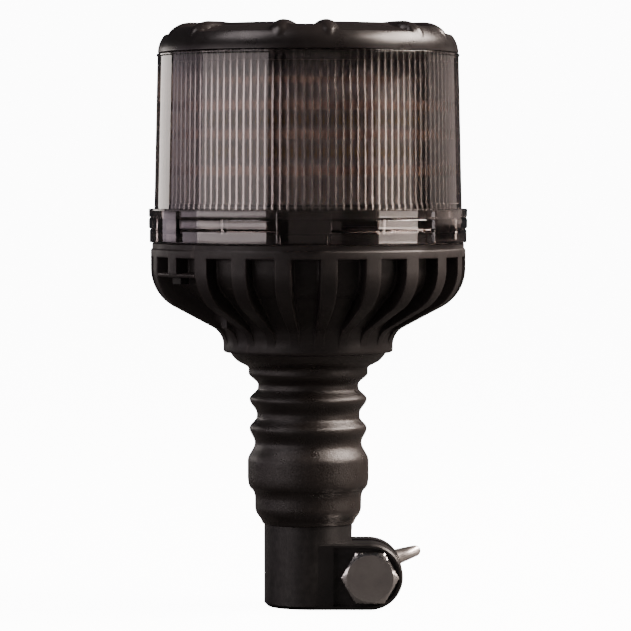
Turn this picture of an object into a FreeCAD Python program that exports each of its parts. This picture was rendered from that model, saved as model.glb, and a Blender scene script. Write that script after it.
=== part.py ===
"""LED beacon on a flexible pole mount.

The origin is the centre of the socket's mouth. +Z runs up the axis, +X points at the clamp ears
and the bolt's head faces -Y. Lengths are millimetres and angles are degrees. An azimuth is
measured from the front, -Y, and grows towards +X.
"""
import FreeCAD, Part
import math
import os
import Sketcher

SIZES = {
    # Pole socket
    "bore_radius": 12.2,
    "bore_depth": 40.0,
    "tube_wall": 2.8,
    "mouth_bevel": 1.2,
    "chamber_step": 3.7,
    "chamber_depth": 10.0,
    "roof_thickness": 3.0,
    "ring_ledge": 0.5,
    "ring_seat_depth": 1.2,
    # Clamp ears
    "bolt_reach": 20.8,
    "ear_radius": 11.2,
    "head_seat_share": 0.82,
    "back_ear_face": 11.0,
    "slit_width": 4.4,
    "slit_height": 26.0,
    "lip_width": 1.3,
    "lip_depth": 2.3,
    "ear_bevel": 0.6,
    # Clamp bolt, washer and wing nut
    "bolt_radius": 4.9,
    "bolt_clearance": 0.4,
    "bolt_tail": 10.7,
    "bolt_point": 1.0,
    "head_flat_radius": 8.5,
    "head_height": 6.4,
    "head_chamfer_share": 0.96,
    "head_chamfer_slope": 30.0,
    "washer_radius": 10.0,
    "washer_thickness": 2.0,
    "washer_clearance": 0.35,
    "thread_clearance": 0.06,
    "hub_radius": 8.0,
    "hub_taper": 1.4,
    "hub_height": 9.0,
    "hub_band": 1.6,
    "wing_half_span": 18.9,
    "wing_rise": 13.0,
    "wing_root_width": 7.6,
    "wing_tip_width": 3.6,
    "wing_angle": 17.0,
    "wing_foot_share": 0.2,
    "wing_tip_share": 0.48,
    "wing_valley_share": 0.55,
    "wing_root_share": 0.21,
    "wing_valley_reach_share": 0.31,
    "wing_inner_share": 0.62,
    "wing_crown_share": 0.86,
    "wing_bend_share": 0.35,
    # Pole contacts
    "fit": 0.1,
    "carrier_stem_radius": 5.5,
    "carrier_stem_tail": 0.7,
    "contact_radius": 2.2,
    "contact_slide": 0.08,
    "contact_proud": 0.2,
    "contact_point": 0.9,
    "contact_guide": 4.4,
    "contact_collar_step": 0.8,
    "contact_collar_height": 1.2,
    "spring_room_clearance": 0.3,
    "spring_room_height": 7.4,
    "spring_radius": 2.4,
    "spring_wire_radius": 0.4,
    "spring_turns": 3,
    "carrier_nut_radius": 8.4,
    "carrier_nut_height": 2.0,
    "return_ring_thickness": 0.8,
    "contact_setback": 0.3,
    # Flexible neck
    "neck_foot": 28.0,
    "neck_clearance": 0.15,
    "sleeve_wall": 2.95,
    "sleeve_height": 11.4,
    "sleeve_bevel": 1.8,
    "barrel_wall": 5.45,
    "barrel_height": 10.0,
    "barrel_bevel": 1.0,
    "low_flare_height": 6.3,
    "waist_pitch": 9.85,
    "wave_flat": 1.1,
    "low_waist_radius": 18.2,
    "middle_waist_radius": 17.5,
    "high_waist_radius": 17.1,
    "crest_radius": 19.95,
    "high_flare_height": 4.0,
    "shoulder_radius": 20.3,
    "shoulder_height": 2.7,
    "flange_radius": 26.8,
    "flange_height": 4.2,
    "flange_bevel": 2.4,
    "neck_hollow_radius": 12.5,
    "spigot_radius": 18.4,
    "bead_step": 3.0,
    "bead_height": 3.0,
    # Supply wires
    "lead_radius": 1.1,
    "lead_spacing": 3.2,
    # Finned base
    "band_radius": 53.4,
    "band_height": 4.6,
    "band_edge": 0.5,
    "band_edge_height": 2.2,
    "bowl_drop": 8.5,
    "bowl_round": 15.0,
    "bowl_slope": 28.0,
    "bowl_hollow_round": 7.0,
    "bowl_neck_radius": 28.8,
    "bowl_neck_height": 2.3,
    "foot_bevel": 0.7,
    "floor_thickness": 5.8,
    "neck_wall": 2.4,
    "inner_neck_height": 5.2,
    "inner_slope_height": 13.0,
    "inner_bowl_inset": 12.2,
    "rib_count": 22,
    "rib_angle": 6.0,
    "rib_azimuth": -8.8,
    "pocket_depth": 4.9,
    "pocket_fade": 2.4,
    "recess_shelf_drop": 5.2,
    "shelf_thickness": 1.4,
    "shelf_setback": 0.25,
    "recess_extra_depth": 1.9,
    "recess_drop": 1.2,
    "rim_step": 4.4,
    "rim_wall": 2.6,
    "rim_height": 12.4,
    "plate_ledge_drop": 3.0,
    "boss_radius": 3.0,
    "boss_inset": 5.0,
    # Bayonet and seal
    "tab_level": 3.9,
    "tab_height": 2.2,
    "tab_reach": 2.6,
    "tab_half_angle": 6.5,
    "tab_azimuth": 21.0,
    "tab_count": 6,
    "tab_gap": 0.35,
    "tab_room": 2.25,
    "lens_azimuth": -1.4,
    "bayonet_clearance": 0.3,
    "entry_margin": 2.0,
    "stop_angle": 2.0,
    "stop_clearance": 0.9,
    "seal_height": 0.9,
    # Lens
    "lens_seat_gap": 0.25,
    "collar_wall": 2.1,
    "collar_height": 11.3,
    "collar_lower_step": 0.25,
    "collar_groove": 0.45,
    "collar_groove_level": 4.5,
    "collar_groove_spacing": 3.8,
    "lens_height": 63.7,
    "lens_wall": 2.3,
    "lens_draft": 1.15,
    "flute_step": 0.6,
    "flute_count": 126,
    "flute_depth": 0.45,
    "flute_width": 2.0,
    "pad_proud": 1.2,
    "pad_margin": 0.5,
    "pad_half_angle": 9.4,
    # Top cap
    "cap_gap": 0.2,
    "cap_round": 9.3,
    "cap_wall": 2.4,
    "cap_roof_share": 0.6,
    "cap_spigot_height": 3.4,
    "cap_spigot_clearance": 0.4,
    "cap_reveal": 0.1,
    "ridge_radius": 4.2,
    "ridge_proud": 0.55,
    "ridge_sink": 0.3,
    "ridge_spread": 9.6,
    "ridge_length": 25.4,
    "ridge_shoulder": 45.0,
    "ridge_end": 25.0,
    "valley_depth": 1.2,
    "valley_half_angle": 9.0,
    "valley_length": 37.0,
    "panel_depth": 0.5,
    "panel_slope": 14.0,
    "panel_half_angle": 16.8,
    "panel_length": 13.5,
    # Driver board and its parts
    "board_level": 20.0,
    "board_clearance": 1.6,
    "board_thickness": 1.6,
    "board_hole_radius": 6.5,
    "capacitor_radius": 5.0,
    "capacitor_gap": 2.0,
    "capacitor_height": 8.5,
    "part_inset": 13.0,
    "inductor_width": 12.0,
    "inductor_height": 6.5,
    "chip_width": 6.0,
    "chip_gap": 3.0,
    "chip_height": 1.7,
    "terminal_width": 16.0,
    "terminal_depth": 8.0,
    "terminal_height": 8.5,
    # Plate and column of the light tower
    "plate_thickness": 3.0,
    "plate_clearance": 0.2,
    "plate_hole_radius": 7.0,
    "core_flat_radius": 17.0,
    "core_bore_radius": 11.0,
    "core_height": 53.4,
    "led_board_width": 17.4,
    "led_board_thickness": 1.6,
    "led_board_foot": 4.0,
    "led_board_headroom": 3.4,
    "led_width": 3.4,
    "led_height": 1.6,
    "led_pitch": 5.0,
    # Reflectors and the posts between them
    "low_reflector_share": 0.424,
    "middle_reflector_share": 0.65,
    "high_reflector_share": 0.83,
    "reflector_radius": 37.0,
    "reflector_thickness": 3.0,
    "reflector_clearance": 0.3,
    "post_reach": 24.6,
    "post_radius": 2.6,
    "tower_plate_radius": 28.4,
    "tower_plate_thickness": 2.0,
    "post_nut_height": 2.4,
    # Heads of the small screws
    "screw_head_radius": 2.7,
    "screw_head_height": 2.0,
    "clamp_ring_thickness": 2.0,
    "clamp_ring_clearance": 0.5,
    "clamp_screw_inset": 3.1,
    "clamp_ring_hole_radius": 9.0,
    "grommet_rise": 1.4,
    "core_screw_reach": 14.0,
    "plate_screw_inset": 3.0,
    "plate_screw_count": 4,
}


class Formula:
    """A number and the sheet formula that gives it, so that a size is written only once."""

    def __init__(self, number, text):
        self.number = number
        self.text = text

    def __add__(self, other):
        other = formula(other)
        return Formula(self.number + other.number, f"({self.text} + {other.text})")

    def __radd__(self, other):
        return formula(other) + self

    def __sub__(self, other):
        other = formula(other)
        return Formula(self.number - other.number, f"({self.text} - {other.text})")

    def __rsub__(self, other):
        return formula(other) - self

    def __mul__(self, other):
        other = formula(other)
        return Formula(self.number * other.number, f"({self.text} * {other.text})")

    def __rmul__(self, other):
        return formula(other) * self

    def __truediv__(self, other):
        other = formula(other)
        return Formula(self.number / other.number, f"({self.text} / {other.text})")

    def __rtruediv__(self, other):
        return formula(other) / self

    def __neg__(self):
        return Formula(-self.number, f"(-1 * {self.text})")


def formula(value):
    """A plain number as a formula."""
    if isinstance(value, Formula):
        return value
    return Formula(float(value), repr(float(value)))


def sine(angle):
    return Formula(math.sin(math.radians(angle.number)), f"sin({angle.text})")


def cosine(angle):
    return Formula(math.cos(math.radians(angle.number)), f"cos({angle.text})")


def tangent(angle):
    return Formula(math.tan(math.radians(angle.number)), f"tan({angle.text})")


def root(value):
    return Formula(math.sqrt(value.number), f"sqrt({value.text})")


class Sizes:
    """The sheet's named sizes as formulas."""

    def __init__(self, document, table):
        self.sheet = document.addObject("Spreadsheet::Sheet", "Sizes")
        for row, (name, value) in enumerate(table.items(), start=1):
            self.sheet.set(f"A{row}", name.replace("_", " "))
            self.sheet.set(f"B{row}", str(value))
            self.sheet.setAlias(f"B{row}", name)
        document.recompute()

    def __getattr__(self, name):
        return Formula(float(getattr(self.sheet, name)), f"Sizes.{name}")


doc = FreeCAD.newDocument("led_beacon")
size = Sizes(doc, SIZES)
SUB_PARTS = []

# An outline passes this far beyond the face that it cuts through.
OVERSHOOT = size.band_radius * 0.1
SIXTH_TURN = 60.0
EIGHTH_TURN = 45.0
POST_AZIMUTH = 30.0
QUARTER_TURN = 90.0
HALF_TURN = 180.0
FRONT = -QUARTER_TURN
# Straight steps along a round.
BOWL_STEPS = 3
CAP_STEPS = 5
RIDGE_STEPS = 2
SMALL_STEPS = 2
# Groups that stand around the axis.
SCREWS_IN_RING = 3
POSTS_IN_RING = 3
CORE_FACES = 6


def bind(thing, path, value):
    """Bind one property to the sheet."""
    thing.setExpression(path, formula(value).text)


def new_body(label, sub_part=True):
    """An empty body, kept as a sub-part unless it only helps to make one."""
    body = doc.addObject("PartDesign::Body", label)
    body.Label = label
    body.AllowCompound = True
    if sub_part:
        SUB_PARTS.append(body)
    return body


def origin_feature(body, role):
    return next(item for item in body.Origin.OriginFeatures if item.Role == role)


def new_sketch(body, name, plane="XZ_Plane", azimuth=None, lift=None):
    """A sketch on an origin plane, turned about the axis to an azimuth or lifted off its plane."""
    sketch = body.newObject("Sketcher::SketchObject", f"{body.Name}_{name}")
    sketch.AttachmentSupport = [(origin_feature(body, plane), "")]
    sketch.MapMode = "FlatFace"
    if azimuth is not None:
        turn = formula(azimuth) + FRONT
        pivot = FreeCAD.Vector(0, 1, 0) if plane == "XZ_Plane" else FreeCAD.Vector(0, 0, 1)
        spin = FreeCAD.Rotation(pivot, turn.number)
        sketch.AttachmentOffset = FreeCAD.Placement(FreeCAD.Vector(), spin)
        bind(sketch, "AttachmentOffset.Rotation.Angle", turn)
    if lift is not None:
        bind(sketch, "AttachmentOffset.Base.z", lift)
    return sketch


def arc_between(start, end, radius, side):
    """The short arc from start to end that bulges to the left (1) or to the right (-1)."""
    chord = end - start
    middle = (start + end) * 0.5
    left = FreeCAD.Vector(-chord.y, chord.x, 0).normalize()
    offset = math.sqrt(max(radius * radius - chord.Length * chord.Length / 4, 0.0))
    centre = middle - left * (side * offset)
    first, last = (end, start) if side > 0 else (start, end)
    begin = math.atan2(first.y - centre.y, first.x - centre.x)
    finish = math.atan2(last.y - centre.y, last.x - centre.x)
    if finish < begin:
        finish += 2 * math.pi
    circle = Part.Circle(centre, FreeCAD.Vector(0, 0, 1), radius)
    return Part.ArcOfCircle(circle, begin, finish)


def draw(sketch, corners, closed=True):
    """Draw an outline. A corner is (across, up), or (across, up, radius, side) before an arc."""
    first = sketch.GeometryCount
    count = len(corners)
    stretches = count if closed else count - 1
    spots = [FreeCAD.Vector(formula(c[0]).number, formula(c[1]).number, 0) for c in corners]
    heads = []
    tails = []
    for index in range(stretches):
        corner = corners[index]
        start = spots[index]
        end = spots[(index + 1) % count]
        if len(corner) == 2:
            sketch.addGeometry(Part.LineSegment(start, end))
            reverse = False
        else:
            sketch.addGeometry(arc_between(start, end, formula(corner[2]).number, corner[3]))
            reverse = corner[3] > 0
        heads.append((first + index, 2 if reverse else 1))
        tails.append((first + index, 1 if reverse else 2))
    rules = []
    bonds = []
    for index in range(stretches if closed else stretches - 1):
        rules.append(Sketcher.Constraint("Coincident", *tails[index], *heads[(index + 1) % stretches]))
        bonds.append(None)
    ends = heads if closed else heads + [tails[-1]]
    for index, (corner, spot, end) in enumerate(zip(corners, spots, ends)):
        rules.append(Sketcher.Constraint("DistanceX", -1, 1, *end, spot.x))
        bonds.append((f"across_{first + index}", corner[0]))
        rules.append(Sketcher.Constraint("DistanceY", -1, 1, *end, spot.y))
        bonds.append((f"up_{first + index}", corner[1]))
        if len(corner) > 2:
            rules.append(Sketcher.Constraint("Radius", first + index, formula(corner[2]).number))
            bonds.append((f"radius_{first + index}", corner[2]))
    add_rules(sketch, rules, bonds)
    return sketch


def add_rules(sketch, rules, bonds):
    """Add constraints and bind the named ones to the sheet."""
    places = sketch.addConstraint(rules)
    for place, bond in zip(places, bonds):
        if bond is not None:
            sketch.renameConstraint(place, bond[0])
            bind(sketch, f"Constraints.{bond[0]}", bond[1])


def draw_circle(sketch, across, up, radius):
    """Draw a full circle."""
    index = sketch.GeometryCount
    centre = FreeCAD.Vector(formula(across).number, formula(up).number, 0)
    sketch.addGeometry(Part.Circle(centre, FreeCAD.Vector(0, 0, 1), formula(radius).number))
    rules = [
        Sketcher.Constraint("DistanceX", -1, 1, index, 3, centre.x),
        Sketcher.Constraint("DistanceY", -1, 1, index, 3, centre.y),
        Sketcher.Constraint("Radius", index, formula(radius).number),
    ]
    bonds = [(f"across_{index}", across), (f"up_{index}", up), (f"radius_{index}", radius)]
    add_rules(sketch, rules, bonds)
    return sketch


def draw_axis(sketch, start, end):
    """Draw a construction line to turn a profile about."""
    index = sketch.GeometryCount
    spots = [FreeCAD.Vector(formula(p[0]).number, formula(p[1]).number, 0) for p in (start, end)]
    sketch.addGeometry(Part.LineSegment(*spots), True)
    rules = []
    bonds = []
    for end_number, place in enumerate((start, end), start=1):
        spot = spots[end_number - 1]
        rules.append(Sketcher.Constraint("DistanceX", -1, 1, index, end_number, spot.x))
        bonds.append((f"axis_across_{end_number}", place[0]))
        rules.append(Sketcher.Constraint("DistanceY", -1, 1, index, end_number, spot.y))
        bonds.append((f"axis_up_{end_number}", place[1]))
    add_rules(sketch, rules, bonds)


def turned(body, name, corners, cut=False, azimuth=None, sweep=None, axis=None):
    """Turn a profile about the axis, or about a line of its own, to add or to cut material."""
    sketch = new_sketch(body, f"{name}_section", azimuth=azimuth)
    draw(sketch, corners)
    if axis is not None:
        draw_axis(sketch, *axis)
    kind = "PartDesign::Groove" if cut else "PartDesign::Revolution"
    feature = body.newObject(kind, f"{body.Name}_{name}")
    feature.Profile = sketch
    feature.ReferenceAxis = (sketch, ["V_Axis" if axis is None else "Axis0"])
    feature.Midplane = sweep is not None
    feature.Refine = False
    if sweep is None:
        feature.Angle = 360.0
    else:
        bind(feature, "Angle", sweep)
    body.Tip = feature
    return feature


def raised(body, name, sketch, length, cut=False, both_ways=False, backwards=False):
    """Pad a sketch, or cut a pocket with it."""
    kind = "PartDesign::Pocket" if cut else "PartDesign::Pad"
    feature = body.newObject(kind, f"{body.Name}_{name}")
    feature.Profile = sketch
    feature.Midplane = both_ways
    feature.Reversed = backwards
    bind(feature, "Length", length)
    body.Tip = feature
    return feature


def around(body, name, features, count):
    """Repeat features evenly about the axis."""
    pattern = body.newObject("PartDesign::PolarPattern", f"{body.Name}_{name}")
    pattern.Originals = features
    pattern.Axis = (origin_feature(body, "Z_Axis"), [""])
    pattern.Angle = 360.0
    pattern.Refine = False
    bind(pattern, "Occurrences", count)
    body.Tip = pattern
    return pattern


def bevelled(body, name, width, wanted):
    """Bevel the edges of the body so far that a test picks out."""
    doc.recompute()
    base = body.Tip
    names = [f"Edge{i}" for i, edge in enumerate(base.Shape.Edges, start=1) if wanted(edge)]
    bevel = body.newObject("PartDesign::Chamfer", f"{body.Name}_{name}")
    bevel.Base = (base, names)
    bind(bevel, "Size", width)
    body.Tip = bevel
    return bevel


def polygon(flat_radius, sides=6):
    """Corners of a regular hexagon whose flats face along the second axis."""
    corner = flat_radius / math.cos(math.pi / sides)
    angles = [2 * math.pi * index / sides for index in range(sides)]
    return [(corner * math.cos(angle), corner * math.sin(angle)) for angle in angles]


def ring(inner, outer, bottom, top):
    """Corners of a plain ring's section."""
    return [(inner, bottom), (outer, bottom), (outer, top), (inner, top)]


def box(width, depth, across=0.0, up=0.0):
    """Corners of a rectangle about a point."""
    across = formula(across)
    up = formula(up)
    return [
        (across - width / 2, up - depth / 2),
        (across + width / 2, up - depth / 2),
        (across + width / 2, up + depth / 2),
        (across - width / 2, up + depth / 2),
    ]


def arc_steps(centre, radius, first, last, steps, last_radius=None):
    """Points along an arc between two angles, in straight steps, whose radius may change on the way."""
    radius = formula(radius)
    end_radius = radius if last_radius is None else formula(last_radius)
    first = formula(first)
    turn = (formula(last) - first) / steps
    points = []
    for step in range(steps + 1):
        angle = first + turn * step
        reach = radius + (end_radius - radius) * (step / steps)
        points.append((centre[0] + reach * cosine(angle), centre[1] + reach * sine(angle)))
    return points


def hex_posts(body, name, reach, foot, height, flat_radius, count, azimuth):
    """Six-sided posts or screw heads around the axis."""
    sketch = new_sketch(body, f"{name}_outline", "XY_Plane", azimuth=azimuth, lift=foot)
    draw(sketch, [(across + reach, up) for across, up in polygon(flat_radius)])
    single = raised(body, name, sketch, height)
    if formula(count).number > 1:
        around(body, f"{name}_all", [single], count)


def screw_heads(label, reach, foot, count, azimuth):
    """Hex heads of the screws that hold a piece down."""
    body = new_body(label)
    hex_posts(body, "heads", reach, foot, size.screw_head_height, size.screw_head_radius, count, azimuth)


# Radii and levels that several pieces share, each built on the ones before it.
tube_radius = size.bore_radius + size.tube_wall
chamber_radius = size.bore_radius - size.chamber_step
head_seat = tube_radius * size.head_seat_share
front_ear_face = head_seat + size.lip_depth
socket_shoulder = size.bore_depth
chamber_top = socket_shoulder + size.chamber_depth
socket_top = chamber_top + size.roof_thickness
carrier_foot = socket_shoulder + size.contact_setback
carrier_top = socket_top + size.carrier_nut_height + size.carrier_stem_tail

neck_bore = tube_radius + size.neck_clearance
sleeve_radius = neck_bore + size.sleeve_wall
barrel_radius = neck_bore + size.barrel_wall
sleeve_top = size.neck_foot + size.sleeve_height
barrel_top = sleeve_top + size.barrel_height
low_waist = barrel_top + size.low_flare_height
middle_waist = low_waist + size.waist_pitch
high_waist = middle_waist + size.waist_pitch
shoulder_foot = high_waist + size.high_flare_height
flange_foot = shoulder_foot + size.shoulder_height
neck_top = flange_foot + size.flange_height

base_foot = neck_top + size.neck_clearance
base_floor = base_foot + size.floor_thickness
bead_foot = base_floor + size.neck_clearance
bead_top = bead_foot + size.bead_height
clamp_ring_foot = bead_top + size.neck_clearance
clamp_ring_top = clamp_ring_foot + size.clamp_ring_thickness
inner_neck_radius = size.bowl_neck_radius - size.neck_wall
inner_bowl_radius = size.band_radius - size.inner_bowl_inset
inner_level = base_floor + size.inner_neck_height
inner_slope_top = inner_level + size.inner_slope_height
bowl_bend_end = size.band_radius - size.bowl_round * (1.0 - sine(size.bowl_slope))
bowl_hollow_start = size.bowl_neck_radius + size.bowl_hollow_round * (1.0 - sine(size.bowl_slope))
bowl_hollow_foot = base_foot + size.bowl_neck_height
bowl_slope_foot = bowl_hollow_foot + size.bowl_hollow_round * cosine(size.bowl_slope)
bowl_slope_top = bowl_slope_foot + (bowl_bend_end - bowl_hollow_start) * tangent(size.bowl_slope)
bowl_round_level = bowl_slope_top + size.bowl_round * cosine(size.bowl_slope)
base_top = bowl_round_level + size.bowl_drop
rim_radius = size.band_radius - size.rim_step
rim_inner_radius = rim_radius - size.rim_wall
rim_top = base_top + size.rim_height
rib_pitch = 360.0 / size.rib_count
short_rib_azimuth = size.rib_azimuth - rib_pitch * 3
pocket_top = base_top - size.band_height
shelf_top = pocket_top - size.recess_shelf_drop
shelf_foot = shelf_top - size.shelf_thickness
shelf_reach = size.band_radius - size.shelf_setback
recess_reach = size.band_radius - size.pocket_depth - size.recess_extra_depth

board_foot = base_foot + size.board_level
board_top = board_foot + size.board_thickness
slope_run = (inner_bowl_radius - inner_neck_radius) / size.inner_slope_height
board_radius = inner_neck_radius + slope_run * (board_foot - inner_level) - size.board_clearance
boss_reach = board_radius - size.boss_inset
plate_foot = base_top - size.plate_ledge_drop
plate_top = plate_foot + size.plate_thickness
plate_radius = rim_inner_radius - size.plate_clearance
core_top = plate_top + size.core_height
tower_plate_top = core_top + size.tower_plate_thickness

seal_bore = rim_radius + size.bayonet_clearance
groove_bore = seal_bore + size.tab_reach
flute_bore = seal_bore - size.flute_step
collar_radius = groove_bore + size.collar_wall
lens_top_radius = flute_bore + size.lens_wall
lens_foot_radius = lens_top_radius + size.lens_draft
lens_foot = base_top + size.lens_seat_gap
collar_top = lens_foot + size.collar_height
lens_top = lens_foot + size.lens_height
tab_foot = base_top + size.tab_level
tab_top = tab_foot + size.tab_height
cap_foot = lens_top + size.cap_gap
cap_top = cap_foot + size.cap_round
cap_radius = lens_top_radius - size.cap_reveal


def make_pole_socket():
    """Tube with a blind bore, a slit and two ears."""
    body = new_body("pole_socket")
    ear_top = size.ear_radius * 2
    ear = [
        (0.0, 0.0),
        (size.bolt_reach, 0.0, size.ear_radius, -1),
        (size.bolt_reach + size.ear_radius, size.ear_radius, size.ear_radius, -1),
        (size.bolt_reach, ear_top),
        (0.0, ear_top),
    ]
    sketch = new_sketch(body, "ear_outline", lift=-size.back_ear_face)
    draw(sketch, ear)
    raised(body, "ears", sketch, front_ear_face + size.back_ear_face)
    near_axis = size.fit.number
    bevelled(body, "ear_edges", size.ear_bevel,
             lambda edge: edge.BoundBox.YLength < near_axis and edge.BoundBox.XMax > near_axis)
    shell = [
        (0.0, 0.0),
        (tube_radius - size.mouth_bevel, 0.0),
        (tube_radius, size.mouth_bevel),
        (tube_radius, socket_top),
        (0.0, socket_top),
    ]
    turned(body, "tube", shell)
    tube_line = root(tube_radius * tube_radius - head_seat * head_seat)
    inner_radius = size.ear_radius - size.lip_width
    recess = [
        (tube_line, size.lip_width),
        (size.bolt_reach, size.lip_width, inner_radius, -1),
        (size.bolt_reach + inner_radius, size.ear_radius, inner_radius, -1),
        (size.bolt_reach, ear_top - size.lip_width),
        (tube_line, ear_top - size.lip_width),
    ]
    sketch = new_sketch(body, "recess_outline", lift=head_seat)
    draw(sketch, recess)
    raised(body, "head_recess", sketch, size.lip_depth + OVERSHOOT, cut=True, backwards=True)
    stem_hole = size.carrier_stem_radius + size.fit
    ring_seat_radius = size.bore_radius - size.ring_ledge
    seat_top = socket_shoulder + size.ring_seat_depth
    bore = [
        (0.0, -OVERSHOOT),
        (size.bore_radius, -OVERSHOOT),
        (size.bore_radius, socket_shoulder),
        (ring_seat_radius, socket_shoulder),
        (ring_seat_radius, seat_top),
        (chamber_radius, seat_top),
        (chamber_radius, chamber_top),
        (stem_hole, chamber_top),
        (stem_hole, socket_top + OVERSHOOT),
        (0.0, socket_top + OVERSHOOT),
    ]
    turned(body, "bore", bore, cut=True)
    far = size.bolt_reach + size.ear_radius + OVERSHOOT
    slit = [(0.0, -OVERSHOOT), (far, -OVERSHOOT), (far, size.slit_height), (0.0, size.slit_height)]
    sketch = new_sketch(body, "slit_outline")
    draw(sketch, slit)
    raised(body, "slit", sketch, size.slit_width, cut=True, both_ways=True)
    sketch = new_sketch(body, "bolt_hole_outline")
    draw_circle(sketch, size.bolt_reach, size.ear_radius, size.bolt_radius + size.bolt_clearance)
    hole_length = (front_ear_face + size.back_ear_face) * 2
    raised(body, "bolt_hole", sketch, hole_length, cut=True, both_ways=True)


def along_bolt(body, distance, spin=0.0):
    """Lay a body's own axis along the bolt, pointing away from its head."""
    turn = FreeCAD.Rotation(FreeCAD.Vector(1, 0, 0), -QUARTER_TURN)
    twist = FreeCAD.Rotation(FreeCAD.Vector(0, 0, 1), -spin)
    body.Placement = FreeCAD.Placement(FreeCAD.Vector(), turn.multiply(twist))
    bind(body, "Placement.Base.x", size.bolt_reach)
    bind(body, "Placement.Base.y", distance)
    bind(body, "Placement.Base.z", size.ear_radius)


def make_bolt():
    """Hex bolt from the front ear, and the washer behind the back ear."""
    bolt = new_body("clamp_bolt")
    sketch = new_sketch(bolt, "head_outline", "XY_Plane", lift=-size.head_height)
    draw(sketch, polygon(size.head_flat_radius))
    raised(bolt, "head", sketch, size.head_height)
    chamfer_start = size.head_flat_radius * size.head_chamfer_share
    chamfer_end = size.head_flat_radius * 2
    chamfer_drop = (chamfer_end - chamfer_start) * tangent(size.head_chamfer_slope)
    chamfer = [
        (chamfer_start, -size.head_height),
        (chamfer_start, -size.head_height - OVERSHOOT),
        (chamfer_end, -size.head_height - OVERSHOOT),
        (chamfer_end, chamfer_drop - size.head_height),
    ]
    turned(bolt, "head_chamfer", chamfer, cut=True)
    length = head_seat + size.back_ear_face + size.washer_thickness + size.hub_height + size.bolt_tail
    shank = [
        (0.0, -size.bolt_point),
        (size.bolt_radius, -size.bolt_point),
        (size.bolt_radius, length - size.bolt_point),
        (size.bolt_radius - size.bolt_point, length),
        (0.0, length),
    ]
    turned(bolt, "shank", shank)
    along_bolt(bolt, -head_seat)

    washer = new_body("clamp_washer")
    hole = size.bolt_radius + size.washer_clearance
    turned(washer, "disc", ring(hole, size.washer_radius, 0.0, size.washer_thickness))
    along_bolt(washer, size.back_ear_face)


def make_wing_nut():
    """Wing nut: the wings' two views are crossed, joined to the hub and bored."""
    plan = new_body("wing_plan", sub_part=False)
    span = size.wing_half_span
    rise = size.wing_rise
    half_root = size.wing_root_width / 2
    half_tip = size.wing_tip_width / 2
    tip_start = span - half_tip
    top_view = [
        (-tip_start, -half_tip),
        (0.0, -half_root),
        (tip_start, -half_tip, half_tip, -1),
        (span, 0.0, half_tip, -1),
        (tip_start, half_tip),
        (0.0, half_root),
        (-tip_start, half_tip, half_tip, -1),
        (-span, 0.0, half_tip, -1),
    ]
    sketch = new_sketch(plan, "top_view", "XY_Plane")
    draw(sketch, top_view)
    raised(plan, "blank", sketch, rise)

    side = new_body("wing_side", sub_part=False)
    bend = span * size.wing_bend_share
    foot = rise * size.wing_foot_share
    tip_level = rise * size.wing_tip_share
    valley = rise * size.wing_valley_share
    root_reach = span * size.wing_root_share
    valley_reach = span * size.wing_valley_reach_share
    inner_reach = span * size.wing_inner_share
    crown_reach = span * size.wing_crown_share
    past_tip = span + half_tip / 2
    side_view = [
        (-root_reach, foot),
        (root_reach, foot),
        (past_tip, tip_level, bend, -1),
        (crown_reach, rise),
        (inner_reach, rise),
        (valley_reach, valley),
        (-valley_reach, valley),
        (-inner_reach, rise),
        (-crown_reach, rise, bend, -1),
        (-past_tip, tip_level),
    ]
    sketch = new_sketch(side, "side_view")
    draw(sketch, side_view)
    raised(side, "blank", sketch, size.wing_root_width * 2, both_ways=True)

    hub = new_body("wing_hub", sub_part=False)
    cone = [
        (0.0, 0.0),
        (size.hub_radius, 0.0),
        (size.hub_radius, size.hub_band),
        (size.hub_radius - size.hub_taper, size.hub_height),
        (0.0, size.hub_height),
    ]
    turned(hub, "cone", cone)
    wings = doc.addObject("Part::Common", "wings")
    wings.Base = plan
    wings.Tool = side
    blank = doc.addObject("Part::Fuse", "wing_nut_blank")
    blank.Base = hub
    blank.Tool = wings
    thread = doc.addObject("Part::Cylinder", "wing_nut_thread")
    bind(thread, "Radius", size.bolt_radius + size.thread_clearance)
    bind(thread, "Height", rise * 2)
    bind(thread, "Placement.Base.z", -rise / 2)
    nut = doc.addObject("Part::Cut", "wing_nut")
    nut.Label = "wing_nut"
    nut.Base = blank
    nut.Tool = thread
    along_bolt(nut, size.back_ear_face + size.washer_thickness, size.wing_angle.number)
    SUB_PARTS.append(nut)


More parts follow.
